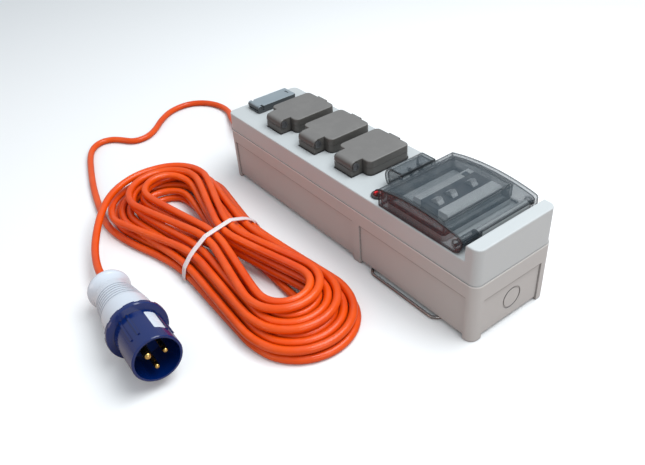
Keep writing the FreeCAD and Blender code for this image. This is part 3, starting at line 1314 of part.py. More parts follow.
def inner_wiring(gland_end):
    """The sheathed lead through the gland to the bay, and the cores that leave it or feed the wells."""
    radius = float(d.cord_diameter) / 2
    step = float(d.lay_step)
    y, z = float(d.knockout_place), float(d.knockout_height)
    low = float(floor_top + d.core_clearance) + radius
    end = float(d.inner_lead_end)
    edges, _ = run_path(points_of([(gland_end, y, z), (gland_end + 6.2 * step, y, z),
                                   (gland_end + 11 * step, y, low), (end, y, low)]))
    tube("inner_lead", edges, Vector(1, 0, 0), radius)
    thin = float(d.core_radius)
    ring = float(d.core_circle)
    gap = float(d.pin_clearance)
    start = end + gap
    device = float(d.rail_place - d.module_length / 2) - gap
    bar_end = float(d.terminal_bar_place) - gap
    earth_y = float(earth_bar_near + d.terminal_bar_width / 2)
    neutral_y = float(neutral_bar_near + d.terminal_bar_width / 2)
    breaker_y = float(d.module_near + d.module_pitch / 2)
    bar_low = float(floor_top) + 0.26 * step
    bar_high = bar_low + 2 * thin + 0.12 * step
    clamp = float(rail_level) + 1.7 * step
    under = float(pocket_floor - d.outlet_wall - d.core_clearance) - thin
    under_charger = float(lid_top - d.charger_depth - d.core_clearance) - thin
    side = ring * math.cos(math.pi / 6)
    feed_end = float(d.outlet_first - d.outlet_length / 2) - 0.8 * step
    feeds = (-step, 1.6 * step, 0.3 * step)
    charger_feeds = [[(feed_end - 2 * step, feed, under_charger),
                      (feed_end - 3.8 * step, feed, under_charger)] for feed in feeds]
    routes = [
        [(start, y - side, low - ring / 2), (start + 0.7 * step, y - side, low - ring / 2),
         (bar_end - 0.9 * step, earth_y + 0.1 * step, bar_low), (bar_end, earth_y + 0.1 * step, bar_low)],
        [(start, y, low + ring), (start + 1.7 * step, y, low + ring),
         (device - 2.5 * step, y + 0.6 * step, 3.4 * step),
         (device - 1.2 * step, y + 1.2 * step, clamp), (device, y + 1.2 * step, clamp)],
        [(start, y + side, low - ring / 2), (start + 0.8 * step, y + side, low - ring / 2),
         (device - 2.7 * step, y + 2.4 * step, 2.8 * step),
         (device - 1.2 * step, y + 3 * step, clamp), (device, y + 3 * step, clamp)],
        [(device, breaker_y, under), (device - step, breaker_y, under),
         (3.4 * step, -1.2 * step, under), (feed_end, feeds[0], under)] + charger_feeds[0],
        [(bar_end, neutral_y, bar_high), (bar_end - 0.9 * step, neutral_y, bar_high),
         (0.8 * step, 2.4 * step, 4 * step), (-1.2 * step, feeds[1] + 0.1 * step, under),
         (feed_end, feeds[1], under)] + charger_feeds[1],
        [(bar_end, earth_y, bar_high), (bar_end - 0.9 * step, earth_y, bar_high),
         (0.5 * step, -1.6 * step, 4.2 * step), (-1.2 * step, feeds[2] - 0.1 * step, under),
         (feed_end, feeds[2], under)],
    ]
    cores = []
    for route in routes:
        places = points_of(route)
        edges, _ = run_path(places)
        cores.append(swept("core", edges, (places[1] - places[0]).normalize(), thin))
    grouped("inner_cores", cores)


def cable_tie():
    """Closed band round the waist of the hank with a square head at its near side."""
    gap = d.tie_clearance
    stack = d.cord_diameter + d.hank_layer_step * (d.hank_layers - 1)
    low = d.hank_tie_lift - gap
    high = d.hank_tie_lift + stack + gap
    reach = d.hank_waist_half_width + d.cord_diameter / 2 + 2 * gap + 1.2
    x0 = -d.tie_width / 2
    x1 = d.tie_width / 2
    thick = d.tie_thickness
    outer = rounded(box(x0, x1, -reach - thick, reach + thick, low - thick, high + thick), 6,
                    along("x"))
    inner = rounded(box(x0 - 1, x1 + 1, -reach, reach, low, high), 4.7, along("x"))
    head = rounded(box(x0 - 1.4, x1 + 1.4, -reach - d.tie_head, -reach - thick / 2, low + d.tie_head * 2,
                       low + d.tie_head * 3), 0.8, along("y"))
    band = cut(join(outer, head), inner)
    doc.recompute()
    band.Placement = FreeCAD.Placement(
        Vector(float(d.hank_waist_place), float(d.hank_middle), 0),
        Rotation(Vector(0, 0, 1), float(d.tie_turn)))
    piece(band, "cable_tie")


# Plug

def plug_frame():
    """Placement of the plug: its own X axis runs from the tail to the mouth."""
    turn = Rotation(Vector(0, 0, 1), float(d.plug_yaw)) * Rotation(Vector(0, 1, 0),
                                                                  -float(d.plug_pitch))
    tail = Vector(float(d.plug_tail_place), float(d.plug_tail_across), float(d.plug_tail_level))
    return FreeCAD.Placement(tail, turn)


def in_plug(thing, label):
    """Hand over a piece that was made about the plug's own axis."""
    doc.recompute()
    thing.Placement = plug_frame().multiply(thing.Placement)
    return piece(thing, label)


def plug():
    """Inlet plug: two-part shell, pin carrier, three pins and a cord clamp."""
    wall = d.plug_wall
    flare, neck = d.plug_flare_length, d.plug_neck_place
    front = d.plug_flange_place
    hole = d.cord_diameter / 2 + d.plug_clearance
    r_tail, r_neck, r_grip = d.plug_tail_radius, d.plug_neck_radius, d.plug_grip_radius
    grip = turned([
        (2, hole), (front, hole), (front, r_grip), (front - 24, r_grip - 0.8),
        (neck + 8, r_neck + 0.6), (neck, r_neck - 0.4, neck * -0.9),
        (flare * 0.7, r_tail, d.plug_heel_round), (d.plug_heel, r_tail - 3.4, d.plug_heel_round * 0.7),
        (0, r_tail - 8), (0, hole + 3)])
    hollow = turned([(wall + 3, 0), (front + 1, 0), (front + 1, r_grip - wall),
                     (front - 24, r_grip - 0.8 - wall), (neck + 8, r_neck - wall),
                     (wall + 3, r_neck - wall)])
    grooves = []
    rise = (r_grip - 0.8 - r_neck - 0.6) / (front - 24 - neck - 8)
    for n in range(int(d.plug_groove_count.number)):
        place = neck + 9 + d.plug_groove_pitch * n
        bottom = r_neck + rise * (place - neck - 8) - 0.1
        ring = turned([(place, bottom), (place + d.plug_groove_width, bottom),
                       (place + d.plug_groove_width + 0.8, r_grip + 4), (place - 0.8, r_grip + 4)])
        grooves.append(ring)
    bead = box(neck + 6, front - 20, r_neck - 1, r_neck + 4.2, -2.6, 2.6)
    seam = turned([(neck + 6, r_neck - 2), (front - 20, r_neck + 1), (front - 20, r_grip + 1.2),
                   (neck + 6, r_neck + 1.4)])
    shell = cut(join(cut(grip, *grooves), common(bead, seam)), hollow)
    in_plug(shell, "plug_grip")

    length = d.plug_length
    inner = d.plug_shroud_radius - d.plug_shroud_wall
    flange_end = front + d.plug_flange_length
    shroud = turned([
        (front + 0.2, inner), (length, inner), (length, d.plug_shroud_radius - 0.7),
        (length - 0.7, d.plug_shroud_radius), (flange_end, d.plug_shroud_radius),
        (flange_end - 1.2, d.plug_flange_radius - 0.6), (flange_end - 2.4, d.plug_flange_radius),
        (front + 1.6, d.plug_flange_radius), (front + 0.2, d.plug_flange_radius - 1.4)])
    ribs = []
    for angle in (-150, -120, -70, -52, 15, 35, 150):
        rib = box(flange_end - 1, flange_end + d.plug_rib_length, -d.plug_rib_width / 2,
                  d.plug_rib_width / 2, d.plug_shroud_radius - 1,
                  d.plug_shroud_radius + d.plug_rib_height)
        ribs.append((rib, angle))
    key = box(flange_end - 1, flange_end + d.plug_key_length, -d.plug_key_width / 2,
              d.plug_key_width / 2, d.plug_shroud_radius - 1,
              d.plug_shroud_radius + d.plug_key_height)
    ribs.append((key, 180))
    notches = []
    for angle in range(0, 360, 30):
        notch = box(front - 1, front + 3.4, -d.plug_notch_width / 2, d.plug_notch_width / 2,
                    d.plug_flange_radius - d.plug_notch_depth, d.plug_flange_radius + 4)
        notches.append((notch, angle + 15))
    doc.recompute()
    for part, angle in ribs + notches:
        part.Placement = FreeCAD.Placement(Vector(), Rotation(Vector(1, 0, 0), angle)).multiply(
            part.Placement)
        for axis in "xyz":
            part.setExpression(f"Placement.Base.{axis}", None)
    body = cut(join(shroud, *[part for part, _ in ribs]), *[part for part, _ in notches])
    in_plug(body, "plug_shroud")

    carrier_end = length - d.plug_cup_depth
    carrier_start = carrier_end - d.plug_insert_thickness
    lip = d.plug_clearance
    carrier = turned([(carrier_start, 0), (carrier_end, 0), (carrier_end, inner - lip),
                      (carrier_start, inner - lip)])
    pins = []
    for angle, radius, extra in ((150, d.plug_earth_radius, d.plug_earth_extra),
                                 (30, d.plug_line_radius, 0), (-90, d.plug_line_radius, 0)):
        turn = math.radians(angle + d.plug_pin_turn.number)
        y = d.plug_pin_circle * math.cos(turn)
        z = d.plug_pin_circle * math.sin(turn)
        reach = carrier_end + d.plug_pin_length + extra
        root = rod("x", carrier_start - d.plug_pin_tail, y, z, radius + d.plug_pin_root,
                   carrier_end - carrier_start + d.plug_pin_tail)
        shank = rod("x", carrier_end - 1, y, z, radius, reach - carrier_end + 1 - radius)
        tip = doc.addObject("Part::Sphere", "tip")
        bind(tip, "Radius", radius)
        put(tip, reach - radius, y, z)
        bore = rod("x", carrier_start - 1, y, z, radius + d.plug_pin_root + d.pin_clearance,
                   d.plug_insert_thickness + 2)
        pins.append((join(root, shank, tip), bore))
    in_plug(cut(carrier, *[bore for _, bore in pins]), "plug_insert")
    in_plug(pins[0][0], "plug_earth_pin")
    in_plug(pins[1][0], "plug_neutral_pin")
    in_plug(pins[2][0], "plug_line_pin")
    clamp_start = wall + 3
    half = d.plug_clamp_width / 2
    saddle = cut(rod("x", clamp_start, 0, 0, r_neck - wall - d.plug_clearance, d.plug_clamp_length),
                 rod("x", clamp_start - 1, 0, 0, hole, d.plug_clamp_length + 2),
                 box(clamp_start - 1, clamp_start + d.plug_clamp_length + 1, -half, half, 9, 20),
                 box(clamp_start - 1, clamp_start + d.plug_clamp_length + 1, -half, half, -20, -9))
    in_plug(saddle, "plug_cord_clamp")
    frame = plug_frame()
    entry = frame.multVec(Vector(float(d.plug_cord_entry), 0, 0))
    heading = frame.Rotation.multVec(Vector(1, 0, 0))
    return entry, heading


def build():
    """Make every piece."""
    base_housing()
    lid_housing()
    lid_gasket()
    lid_screws()
    for number, x in enumerate(outlet_places, start=1):
        outlet_body(x, number)
        outlet_face(x, number)
        outlet_contacts(x, number)
        outlet_lid(x, number)
        outlet_pin(x, number)
    outlet_springs()
    outlet_gaskets()
    charger_body()
    charger_module()
    charger_cover()
    charger_pin()
    neon()
    breaker_rail()
    breaker(1)
    breaker(2)
    residual_breaker()
    terminal_bars()
    flap()
    flap_pin()
    flap_gasket()
    wire_bail()
    gland_end = gland()
    entry, heading = plug()
    cord(gland_end, entry, heading)
    inner_wiring(gland_end)
    cable_tie()


def write():
    """Check every object and write one file for each piece."""
    doc.recompute()
    for thing in doc.Objects:
        if "Invalid" in thing.State or "Error" in thing.State:
            raise RuntimeError(f"{thing.Name} ({thing.Label}) is {thing.State}")
    os.makedirs(NODE_FOLDER, exist_ok=True)
    for label, thing in PIECES.items():
        shape = thing.Shape
        if shape.isNull() or not shape.isValid() or not shape.Solids:
            raise RuntimeError(f"{label} has no sound shape")
        shape.exportStep(os.path.join(NODE_FOLDER, f"{label}.step"))
    print(f"{len(PIECES)} pieces written")


build()
write()
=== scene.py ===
"""Looks of the mobile mains unit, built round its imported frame.

The frame brings every hard part at its place. This script gives each of them its finish, models the
lead with its hank, and adds the small trim that the frame leaves out. Metres, in the frame's own axes:
+X along the box from the cable end to the breaker end, +Y away from the near long side, +Z up.
"""
import json
import logging
import math
from dataclasses import dataclass, field
from enum import Enum
from typing import Sequence

import bpy
from mathutils import Matrix, Vector

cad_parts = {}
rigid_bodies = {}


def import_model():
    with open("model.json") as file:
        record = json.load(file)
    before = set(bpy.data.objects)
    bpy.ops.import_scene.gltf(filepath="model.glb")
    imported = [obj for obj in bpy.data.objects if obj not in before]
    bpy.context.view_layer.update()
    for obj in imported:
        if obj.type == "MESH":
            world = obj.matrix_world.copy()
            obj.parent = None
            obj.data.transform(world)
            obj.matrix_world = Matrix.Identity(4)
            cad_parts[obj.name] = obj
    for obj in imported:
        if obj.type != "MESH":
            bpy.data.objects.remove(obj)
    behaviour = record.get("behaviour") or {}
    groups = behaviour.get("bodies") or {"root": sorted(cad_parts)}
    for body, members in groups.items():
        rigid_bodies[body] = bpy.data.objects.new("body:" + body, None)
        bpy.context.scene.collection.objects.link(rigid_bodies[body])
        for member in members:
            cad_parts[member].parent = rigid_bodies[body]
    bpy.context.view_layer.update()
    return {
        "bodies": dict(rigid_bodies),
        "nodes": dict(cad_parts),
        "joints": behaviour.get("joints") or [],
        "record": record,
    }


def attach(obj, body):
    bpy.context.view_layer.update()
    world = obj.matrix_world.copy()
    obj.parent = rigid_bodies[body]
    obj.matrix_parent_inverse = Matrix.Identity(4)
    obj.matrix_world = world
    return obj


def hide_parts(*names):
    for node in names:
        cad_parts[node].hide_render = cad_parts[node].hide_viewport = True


LOG = logging.getLogger("mains_unit")
MM = 0.001
SMOOTH_ANGLE = math.radians(40)
Point = tuple[float, float, float]
Rgba = tuple[float, float, float, float]
Group = bpy.types.NodeTree
Node = bpy.types.Node
Socket = bpy.types.NodeSocket


class Body(str, Enum):
    """Bodies of the frame that this script's own pieces ride on."""

    BOX = "root"


class Slot(str, Enum):
    """Material slots of the record, one for each finish."""

    BASE = "base_plastic"
    LID = "lid_plastic"
    SEAL = "seal_rubber"
    STEEL = "plain_steel"
    CHARGER = "usb_plastic"
    BLACK = "black_plastic"
    BEZEL = "bezel_plastic"
    NEON = "neon_red"
    MODULE = "module_plastic"
    TOGGLE = "toggle_plastic"
    BUTTON = "button_plastic"
    BRASS = "bare_brass"
    CLEAR = "smoked_clear"
    WIRE = "bright_wire"
    GLAND = "gland_plastic"
    CABLE = "orange_cable"
    CORE = "core_insulation"
    TIE = "tie_plastic"
    SOCKET = "socket_plastic"
    FACE = "face_plastic"
    GRIP = "grip_plastic"
    BLUE = "blue_plastic"


def linear(code: str) -> Rgba:
    """Turn a screen colour into the linear one that a shader takes.

    Args:
        code: Six hexadecimal digits, red first.

    Returns:
        Linear red, green, blue and a full alpha.
    """
    parts = [int(code[n:n + 2], 16) / 255 for n in (0, 2, 4)]
    return (*[p / 12.92 if p <= 0.04045 else ((p + 0.055) / 1.055) ** 2.4 for p in parts], 1.0)


def millimetres(places: Sequence[Sequence[float]]) -> list[Vector]:
    """Turn places in millimetres into vectors in metres.

    Args:
        places: Three numbers for each place.

    Returns:
        One vector for each place.
    """
    return [Vector(place) * MM for place in places]


def set_up(node: Node, **values: object) -> Node:
    """Set a node's properties and inputs.

    Args:
        node: The node.
        **values: Property names, or socket names with spaces as underscores.

    Returns:
        The node.
    """
    for key, value in values.items():
        if hasattr(node, key):
            setattr(node, key, value)
        else:
            node.inputs[key.replace("_", " ")].default_value = value
    return node


class NodeTree:
    """A few words for wiring a node tree."""

    column_width = 180
    mix_inputs = (0, 6, 7)
    mix_output = 2

    def __init__(self, tree: Group) -> None:
        """Hold the tree and start its layout.

        Args:
            tree: The tree of a material, a world or a group.
        """
        self.tree = tree
        self.column = 0

    def add(self, kind: str, **values: object) -> Node:
        """Add a node and set its sockets and properties.

        Args:
            kind: The node's type name.
            **values: Socket names with spaces as underscores, or property names.

        Returns:
            The new node.
        """
        node = self.tree.nodes.new(kind)
        self.column += self.column_width
        node.location = (self.column, 0)
        return set_up(node, **values)

    def join(self, start: Socket, end: Socket) -> None:
        """Link one socket to another.

        Args:
            start: An output.
            end: An input.
        """
        self.tree.links.new(start, end)

    def feed(self, value: object, end: Socket) -> None:
        """Link a socket to an input, or write a plain value into it.

        Args:
            value: An output, a number or a colour.
            end: The input.
        """
        if isinstance(value, Socket):
            self.join(value, end)
        else:
            end.default_value = value

    def math(self, operation: str, *values: object) -> Socket:
        """Add a Math node.

        Args:
            operation: The node's operation.
            *values: Sockets or numbers, in the node's own order.

        Returns:
            The node's output.
        """
        node = self.add("ShaderNodeMath", operation=operation)
        for end, value in zip(node.inputs, values):
            self.feed(value, end)
        return node.outputs[0]

    def place(self) -> Socket:
        """Read the place in the object's own axes."""
        return self.add("ShaderNodeTexCoord").outputs["Object"]

    def split(self, value: Socket) -> tuple[Socket, ...]:
        """Split a vector.

        Args:
            value: The vector.

        Returns:
            Its three parts.
        """
        node = self.add("ShaderNodeSeparateXYZ")
        self.join(value, node.inputs[0])
        return tuple(node.outputs)

    def near(self, value: Socket, middle: float, reach: float) -> Socket:
        """Mark where a value lies close to another.

        Args:
            value: The value.
            middle: What it is held against.
            reach: How far it may be from that.

        Returns:
            One inside and zero outside.
        """
        return self.math("COMPARE", value, middle, reach)

    def within(self, value: Socket, start: float, end: float) -> Socket:
        """Mark where a value lies between two others.

        Args:
            value: The value.
            start: The lower end.
            end: The upper end.

        Returns:
            One inside and zero outside.
        """
        return self.near(value, (start + end) / 2, (end - start) / 2)

    def blend(self, share: object, first: object, second: object) -> Socket:
        """Mix two colours.

        Args:
            share: How much of the second one shows, a socket or a number.
            first: A socket or a colour.
            second: A socket or a colour.

        Returns:
            The mixed colour.
        """
        node = self.add("ShaderNodeMix", data_type="RGBA")
        for number, value in zip(self.mix_inputs, (share, first, second)):
            self.feed(value, node.inputs[number])
        return node.outputs[self.mix_output]

    def noise(self, place: Socket, scale: object, detail: float, roughness: float) -> Socket:
        """Add a noise texture read at a place.

        Args:
            place: The coordinate.
            scale: Waves a metre, a socket or a number.
            detail: How many octaves.
            roughness: How strong the small ones are.

        Returns:
            The noise, from 0 to 1.
        """
        node = self.add("ShaderNodeTexNoise", Detail=detail, Roughness=roughness)
        self.join(place, node.inputs["Vector"])
        self.feed(scale, node.inputs["Scale"])
        return node.outputs["Fac"]

    def spread(self, value: Socket, low: float, high: float, start: float = 0.0,
               end: float = 1.0) -> Socket:
        """Map a value from one range to another, held at its ends.

        Args:
            value: The value.
            low: Where the first range starts.
            high: Where the first range ends.
            start: What low becomes.
            end: What high becomes.

        Returns:
            The mapped value.
        """
        node = self.add("ShaderNodeMapRange", From_Min=low, From_Max=high, To_Min=start, To_Max=end)
        self.join(value, node.inputs["Value"])
        return node.outputs["Result"]

    def bump(self, relief: Socket, strength: Socket, height: float) -> Socket:
        """Add a bump.

        Args:
            relief: The relief, from 0 to 1.
            strength: How strongly it shows.
            height: How far it stands out, in metres.

        Returns:
            The normal.
        """
        node = self.add("ShaderNodeBump", Distance=height)
        self.join(strength, node.inputs["Strength"])
        self.join(relief, node.inputs["Height"])
        return node.outputs["Normal"]

    def cover(self, shader: Node, skin: Node) -> None:
        """Let a skin set a shader's colour, roughness and normal.

        Args:
            shader: The shader.
            skin: The node that holds the skin's group.
        """
        for start, end in (("Colour", "Base Color"), ("Roughness", "Roughness"), ("Normal", "Normal")):
            self.join(skin.outputs[start], shader.inputs[end])


def new_group(name: str, inputs: Sequence[tuple[str, str, object]]) -> tuple[NodeTree, Node, Node]:
    """Start the shader group of a skin, with named sockets.

    Args:
        name: The group's name.
        inputs: Name, kind and default of each input.

    Returns:
        The wiring helper of the group, its input node and its output node.
    """
    group = bpy.data.node_groups.new(name, "ShaderNodeTree")
    for label, kind, default in inputs:
        socket = group.interface.new_socket(label, in_out="INPUT", socket_type=f"NodeSocket{kind}")
        socket.default_value = default
    for label, kind in (("Colour", "Color"), ("Roughness", "Float"), ("Normal", "Vector")):
        group.interface.new_socket(label, in_out="OUTPUT", socket_type=f"NodeSocket{kind}")
    t = NodeTree(group)
    return t, t.add("NodeGroupInput"), t.add("NodeGroupOutput")


@dataclass(frozen=True)
class MouldedSkin:
    """The skin of a moulded plastic: grain, slow mottling, settled dust, painted shade on side faces and
    painted shade in corners.
    """

    name: str = "moulded_surface"
    plain: Rgba = (0.5, 0.5, 0.5, 1.0)
    slow_noise: tuple = (14.0, 4.0, 0.6)
    slow_range: tuple = (0.3, 0.7)
    mottle: Rgba = (0.02, 0.02, 0.022, 1.0)
    mottle_share: float = 0.35
    side_shade_range: tuple = (0.3, 0.9)
    top_range: tuple = (0.5, 0.98)
    dust: Rgba = (0.62, 0.60, 0.56, 1.0)
    dust_noise: tuple = (60.0, 6.0, 0.7)
    dust_range: tuple = (0.45, 0.75)
    dust_roughness: float = 0.4
    # Painted shade: the dark colour, reach and spread of the shade painted into corners and recesses.
    crevice_shade: Rgba = (0.035, 0.03, 0.03, 1.0)
    crevice_reach: float = 0.003
    crevice_range: tuple = (0.35, 0.8)
    crevice_samples: int = 6
    uneven_gloss: float = 0.18
    grain_detail: tuple = (2.0, 0.6)
    grain_height: float = 0.0002

    def build(self) -> Group:
        """Build the group.

        Returns:
            The group.
        """
        t, given, out = new_group(self.name, [
            ("Colour", "Color", self.plain), ("Grain Size", "Float", 900.0),
            ("Grain Depth", "Float", 0.1), ("Roughness", "Float", 0.5), ("Mottle", "Float", 0.06),
            ("Dust", "Float", 0.1), ("Side Colour", "Color", self.plain), ("Side Share", "Float", 0.0),
            ("Crevice", "Float", 0.0)])
        wish = given.outputs
        place = t.place()
        slow = t.noise(place, *self.slow_noise)
        _, _, facing = t.split(t.add("ShaderNodeNewGeometry").outputs["Normal"])
        # Painted shade: faces whose normal turns to the side take the darker colour.
        painted_side_shade = t.math("MULTIPLY", t.spread(facing, *self.side_shade_range, 1.0, 0.0), wish["Side Share"])
        base = t.blend(painted_side_shade, wish["Colour"], wish["Side Colour"])
        shade = t.math("MULTIPLY", t.spread(slow, *self.slow_range, 1.0, 0.0), wish["Mottle"])
        body = t.blend(shade, base, t.blend(self.mottle_share, base, self.mottle))
        settled = t.math("MULTIPLY", t.spread(facing, *self.top_range),
                         t.spread(t.noise(place, *self.dust_noise), *self.dust_range))
        dusty = t.math("MULTIPLY", settled, wish["Dust"])
        # Painted shade: where ambient occlusion finds a corner or recess, the colour turns dark.
        occlusion = t.add("ShaderNodeAmbientOcclusion", samples=self.crevice_samples,
                       Distance=self.crevice_reach)
        painted_corner_shade = t.math("MULTIPLY", t.spread(occlusion.outputs["AO"], *self.crevice_range, 1.0, 0.0),
                         wish["Crevice"])
        t.join(t.blend(painted_corner_shade, t.blend(dusty, body, self.dust), self.crevice_shade), out.inputs["Colour"])
        worn = t.math("MULTIPLY", t.math("SUBTRACT", slow, 0.5), self.uneven_gloss)
        t.join(t.math("ADD", t.math("ADD", wish["Roughness"], worn),
                      t.math("MULTIPLY", dusty, self.dust_roughness)), out.inputs["Roughness"])
        grain = t.noise(place, wish["Grain Size"], *self.grain_detail)
        t.join(t.bump(grain, wish["Grain Depth"], self.grain_height), out.inputs["Normal"])
        return t.tree


@dataclass(frozen=True)
class HandledSkin:
    """The skin of a plain metal part: faint dulling, fine scratches and finger marks."""

    name: str = "handled_metal"
    marks_noise: tuple = (220.0, 5.0, 0.65)
    marks_range: tuple = (0.4, 0.7)
    marks: Rgba = (0.05, 0.045, 0.04, 1.0)
    marks_share: float = 0.5
    marks_roughness: float = 0.35
    scratch_stretch: Point = (1.0, 14.0, 14.0)
    scratch_noise: tuple = (300.0, 2.0, 0.5)
    scratch_height: float = 0.00005

    def build(self) -> Group:
        """Build the group.

        Returns:
            The group.
        """
        t, given, out = new_group(self.name, [
            ("Colour", "Color", (0.6, 0.6, 0.6, 1.0)), ("Roughness", "Float", 0.25),
            ("Dull", "Float", 0.3), ("Scratch Depth", "Float", 0.1)])
        wish = given.outputs
        place = t.place()
        marks = t.spread(t.noise(place, *self.marks_noise), *self.marks_range)
        dulled = t.math("MULTIPLY", marks, wish["Dull"])
        darker = t.blend(self.marks_share, wish["Colour"], self.marks)
        t.join(t.blend(dulled, wish["Colour"], darker), out.inputs["Colour"])
        t.join(t.math("ADD", wish["Roughness"], t.math("MULTIPLY", dulled, self.marks_roughness)),
               out.inputs["Roughness"])
        stretch = t.add("ShaderNodeMapping", vector_type="POINT", Scale=self.scratch_stretch)
        t.join(place, stretch.inputs["Vector"])
        scratches = t.noise(stretch.outputs["Vector"], *self.scratch_noise)
        t.join(t.bump(scratches, wish["Scratch Depth"], self.scratch_height), out.inputs["Normal"])
        return t.tree


MOULDED = MouldedSkin()
HANDLED = HandledSkin()


@dataclass(frozen=True)
class Plastic:
    """A moulded plastic, opaque, with grain, mottling and dust, and where asked painted shade on its
    side faces and in its corners.
    """

    slot: Slot
    colour: str
    roughness: float = 0.5
    grain_size: float = 900.0
    grain_depth: float = 0.1
    mottle: float = 0.12
    dust: float = 0.08
    coat: float = 0.0
    coat_roughness: float = 0.08
    subsurface: float = 0.0
    subsurface_depth: float = 0.002
    # Painted shade: a darker colour for the faces that turn to the side.
    side: str = ""
    # How strongly shade is painted into corners and recesses.
    crevice_shade: float = 0.0

    def pattern(self, t: NodeTree) -> Socket | None:
        """Wire the colours under the grain.

        Args:
            t: The material's wiring helper.

        Returns:
            A colour, or nothing where the plastic is plain.
        """
        return None

    def build(self, groups: dict[str, Group]) -> bpy.types.Material:
        """Make the material.

        Args:
            groups: The shared groups by name.

        Returns:
            The material.
        """
        material, t, shader = new_material(self.slot.value, linear(self.colour))
        skin = t.add("ShaderNodeGroup", node_tree=groups[MOULDED.name], Colour=linear(self.colour),
                     Grain_Size=self.grain_size, Grain_Depth=self.grain_depth,
                     Roughness=self.roughness, Mottle=self.mottle, Dust=self.dust,
                     Crevice=self.crevice_shade)
        # Painted shade on the side faces, in the darker colour given.
        if self.side:
            set_up(skin, Side_Colour=linear(self.side), Side_Share=1.0)
        colours = self.pattern(t)
        if colours:
            t.join(colours, skin.inputs["Colour"])
        t.cover(shader, skin)
        set_up(shader, Coat_Weight=self.coat, Coat_Roughness=self.coat_roughness)
        if self.subsurface:
            set_up(shader, Subsurface_Weight=self.subsurface, Subsurface_Scale=self.subsurface_depth)
        return material


@dataclass(frozen=True)
class ShadeBanded(Plastic):
    """The devices' plastic, with a strip of painted shade along the row of toggles, where their slots
    lie in shade.
    """

    recess_shade: str = "4E4F54"
    start: float = 0.1155
    end: float = 0.138

    def pattern(self, t: NodeTree) -> Socket:
        """Wire the strip of painted shade across the devices.

        Args:
            t: The material's wiring helper.

        Returns:
            The colours.
        """
        along, _, _ = t.split(t.place())
        # Painted shade over the slots along the toggles.
        return t.blend(t.within(along, self.start, self.end), linear(self.colour), linear(self.recess_shade))


@dataclass(frozen=True)
class Shell(Plastic):
    """The lower shell's plastic, with painted shade under its panel edges and a painted highlight along
    the lip at the seam.
    """

    shade: str = "7A7572"
    ledge_highlight: str = "DCDAD8"
    long_edge: float = 0.0511
    end_edge: float = 0.0476
    line: float = 0.00042
    ledge_level: float = 0.0668
    ledge_reach: float = 0.0006
    spans: tuple = ((-0.1955, 0.037), (0.048, 0.1955))
    end_half: float = 0.0395

    def pattern(self, t: NodeTree) -> Socket:
        """Wire the shade lines and the ledge.

        Args:
            Wire the painted shade lines and the painted highlight along the seam.

        Returns:
            The colours.
        """
        along, across, up = t.split(t.place())
        # Painted shade under the panel edges, and a painted highlight along the seam.
        over_panels = t.math("ADD", *[t.within(along, *span) for span in self.spans])
        on_sides = t.math("MULTIPLY", over_panels, t.near(up, self.long_edge, self.line))
        on_ends = t.math("MULTIPLY", t.near(across, 0.0, self.end_half),
                         t.near(up, self.end_edge, self.line))
        shaded = t.blend(t.math("MAXIMUM", on_sides, on_ends), linear(self.colour), linear(self.shade))
        return t.blend(t.near(up, self.ledge_level, self.ledge_reach), shaded, linear(self.ledge_highlight))


@dataclass(frozen=True)
class Metal:
    """A bare or plated metal."""

    slot: Slot
    colour: str
    roughness: float = 0.22
    dull: float = 0.4
    scratch_depth: float = 0.15

    def build(self, groups: dict[str, Group]) -> bpy.types.Material:
        """Make the material.

        Args:
            groups: The shared groups by name.

        Returns:
            The material.
        """
        material, t, shader = new_material(self.slot.value, linear(self.colour))
        skin = t.add("ShaderNodeGroup", node_tree=groups[HANDLED.name], Colour=linear(self.colour),
                     Roughness=self.roughness, Dull=self.dull, Scratch_Depth=self.scratch_depth)
        t.cover(shader, skin)
        set_up(shader, Metallic=1.0)
        return material


@dataclass(frozen=True)
class Clear:
    """A see-through moulding, with faint wiping marks in its gloss."""

    slot: Slot
    colour: str
    roughness: float = 0.03
    index: float = 1.45
    glow: float = 0.0
    wiped_noise: tuple = (40.0, 5.0, 0.6)
    wiped_range: tuple = (0.35, 0.75)
    wiped_roughness: float = 0.06
    tint_noise: tuple = (9.0, 3.0, 0.5)
    tint_range: tuple = (0.3, 0.7)
    tint_share: float = 0.25
    tint_depth: float = 0.86

    def build(self, groups: dict[str, Group]) -> bpy.types.Material:
        """Make the material.

        Args:
            groups: The shared groups by name; none is used here.

        Returns:
            The material.
        """
        colour = linear(self.colour)
        material, t, shader = new_material(self.slot.value, colour)
        place = t.place()
        wiped = t.noise(place, *self.wiped_noise)
        t.join(t.spread(wiped, *self.wiped_range, self.roughness, self.roughness + self.wiped_roughness),
               shader.inputs["Roughness"])
        deeper = (*[part * self.tint_depth for part in colour[:3]], 1.0)
        share = t.spread(t.noise(place, *self.tint_noise), *self.tint_range, 0.0, self.tint_share)
        t.join(t.blend(share, colour, deeper), shader.inputs["Base Color"])
        set_up(shader, Transmission_Weight=1.0, IOR=self.index)
        if self.glow:
            set_up(shader, Emission_Color=colour, Emission_Strength=self.glow)
        return material


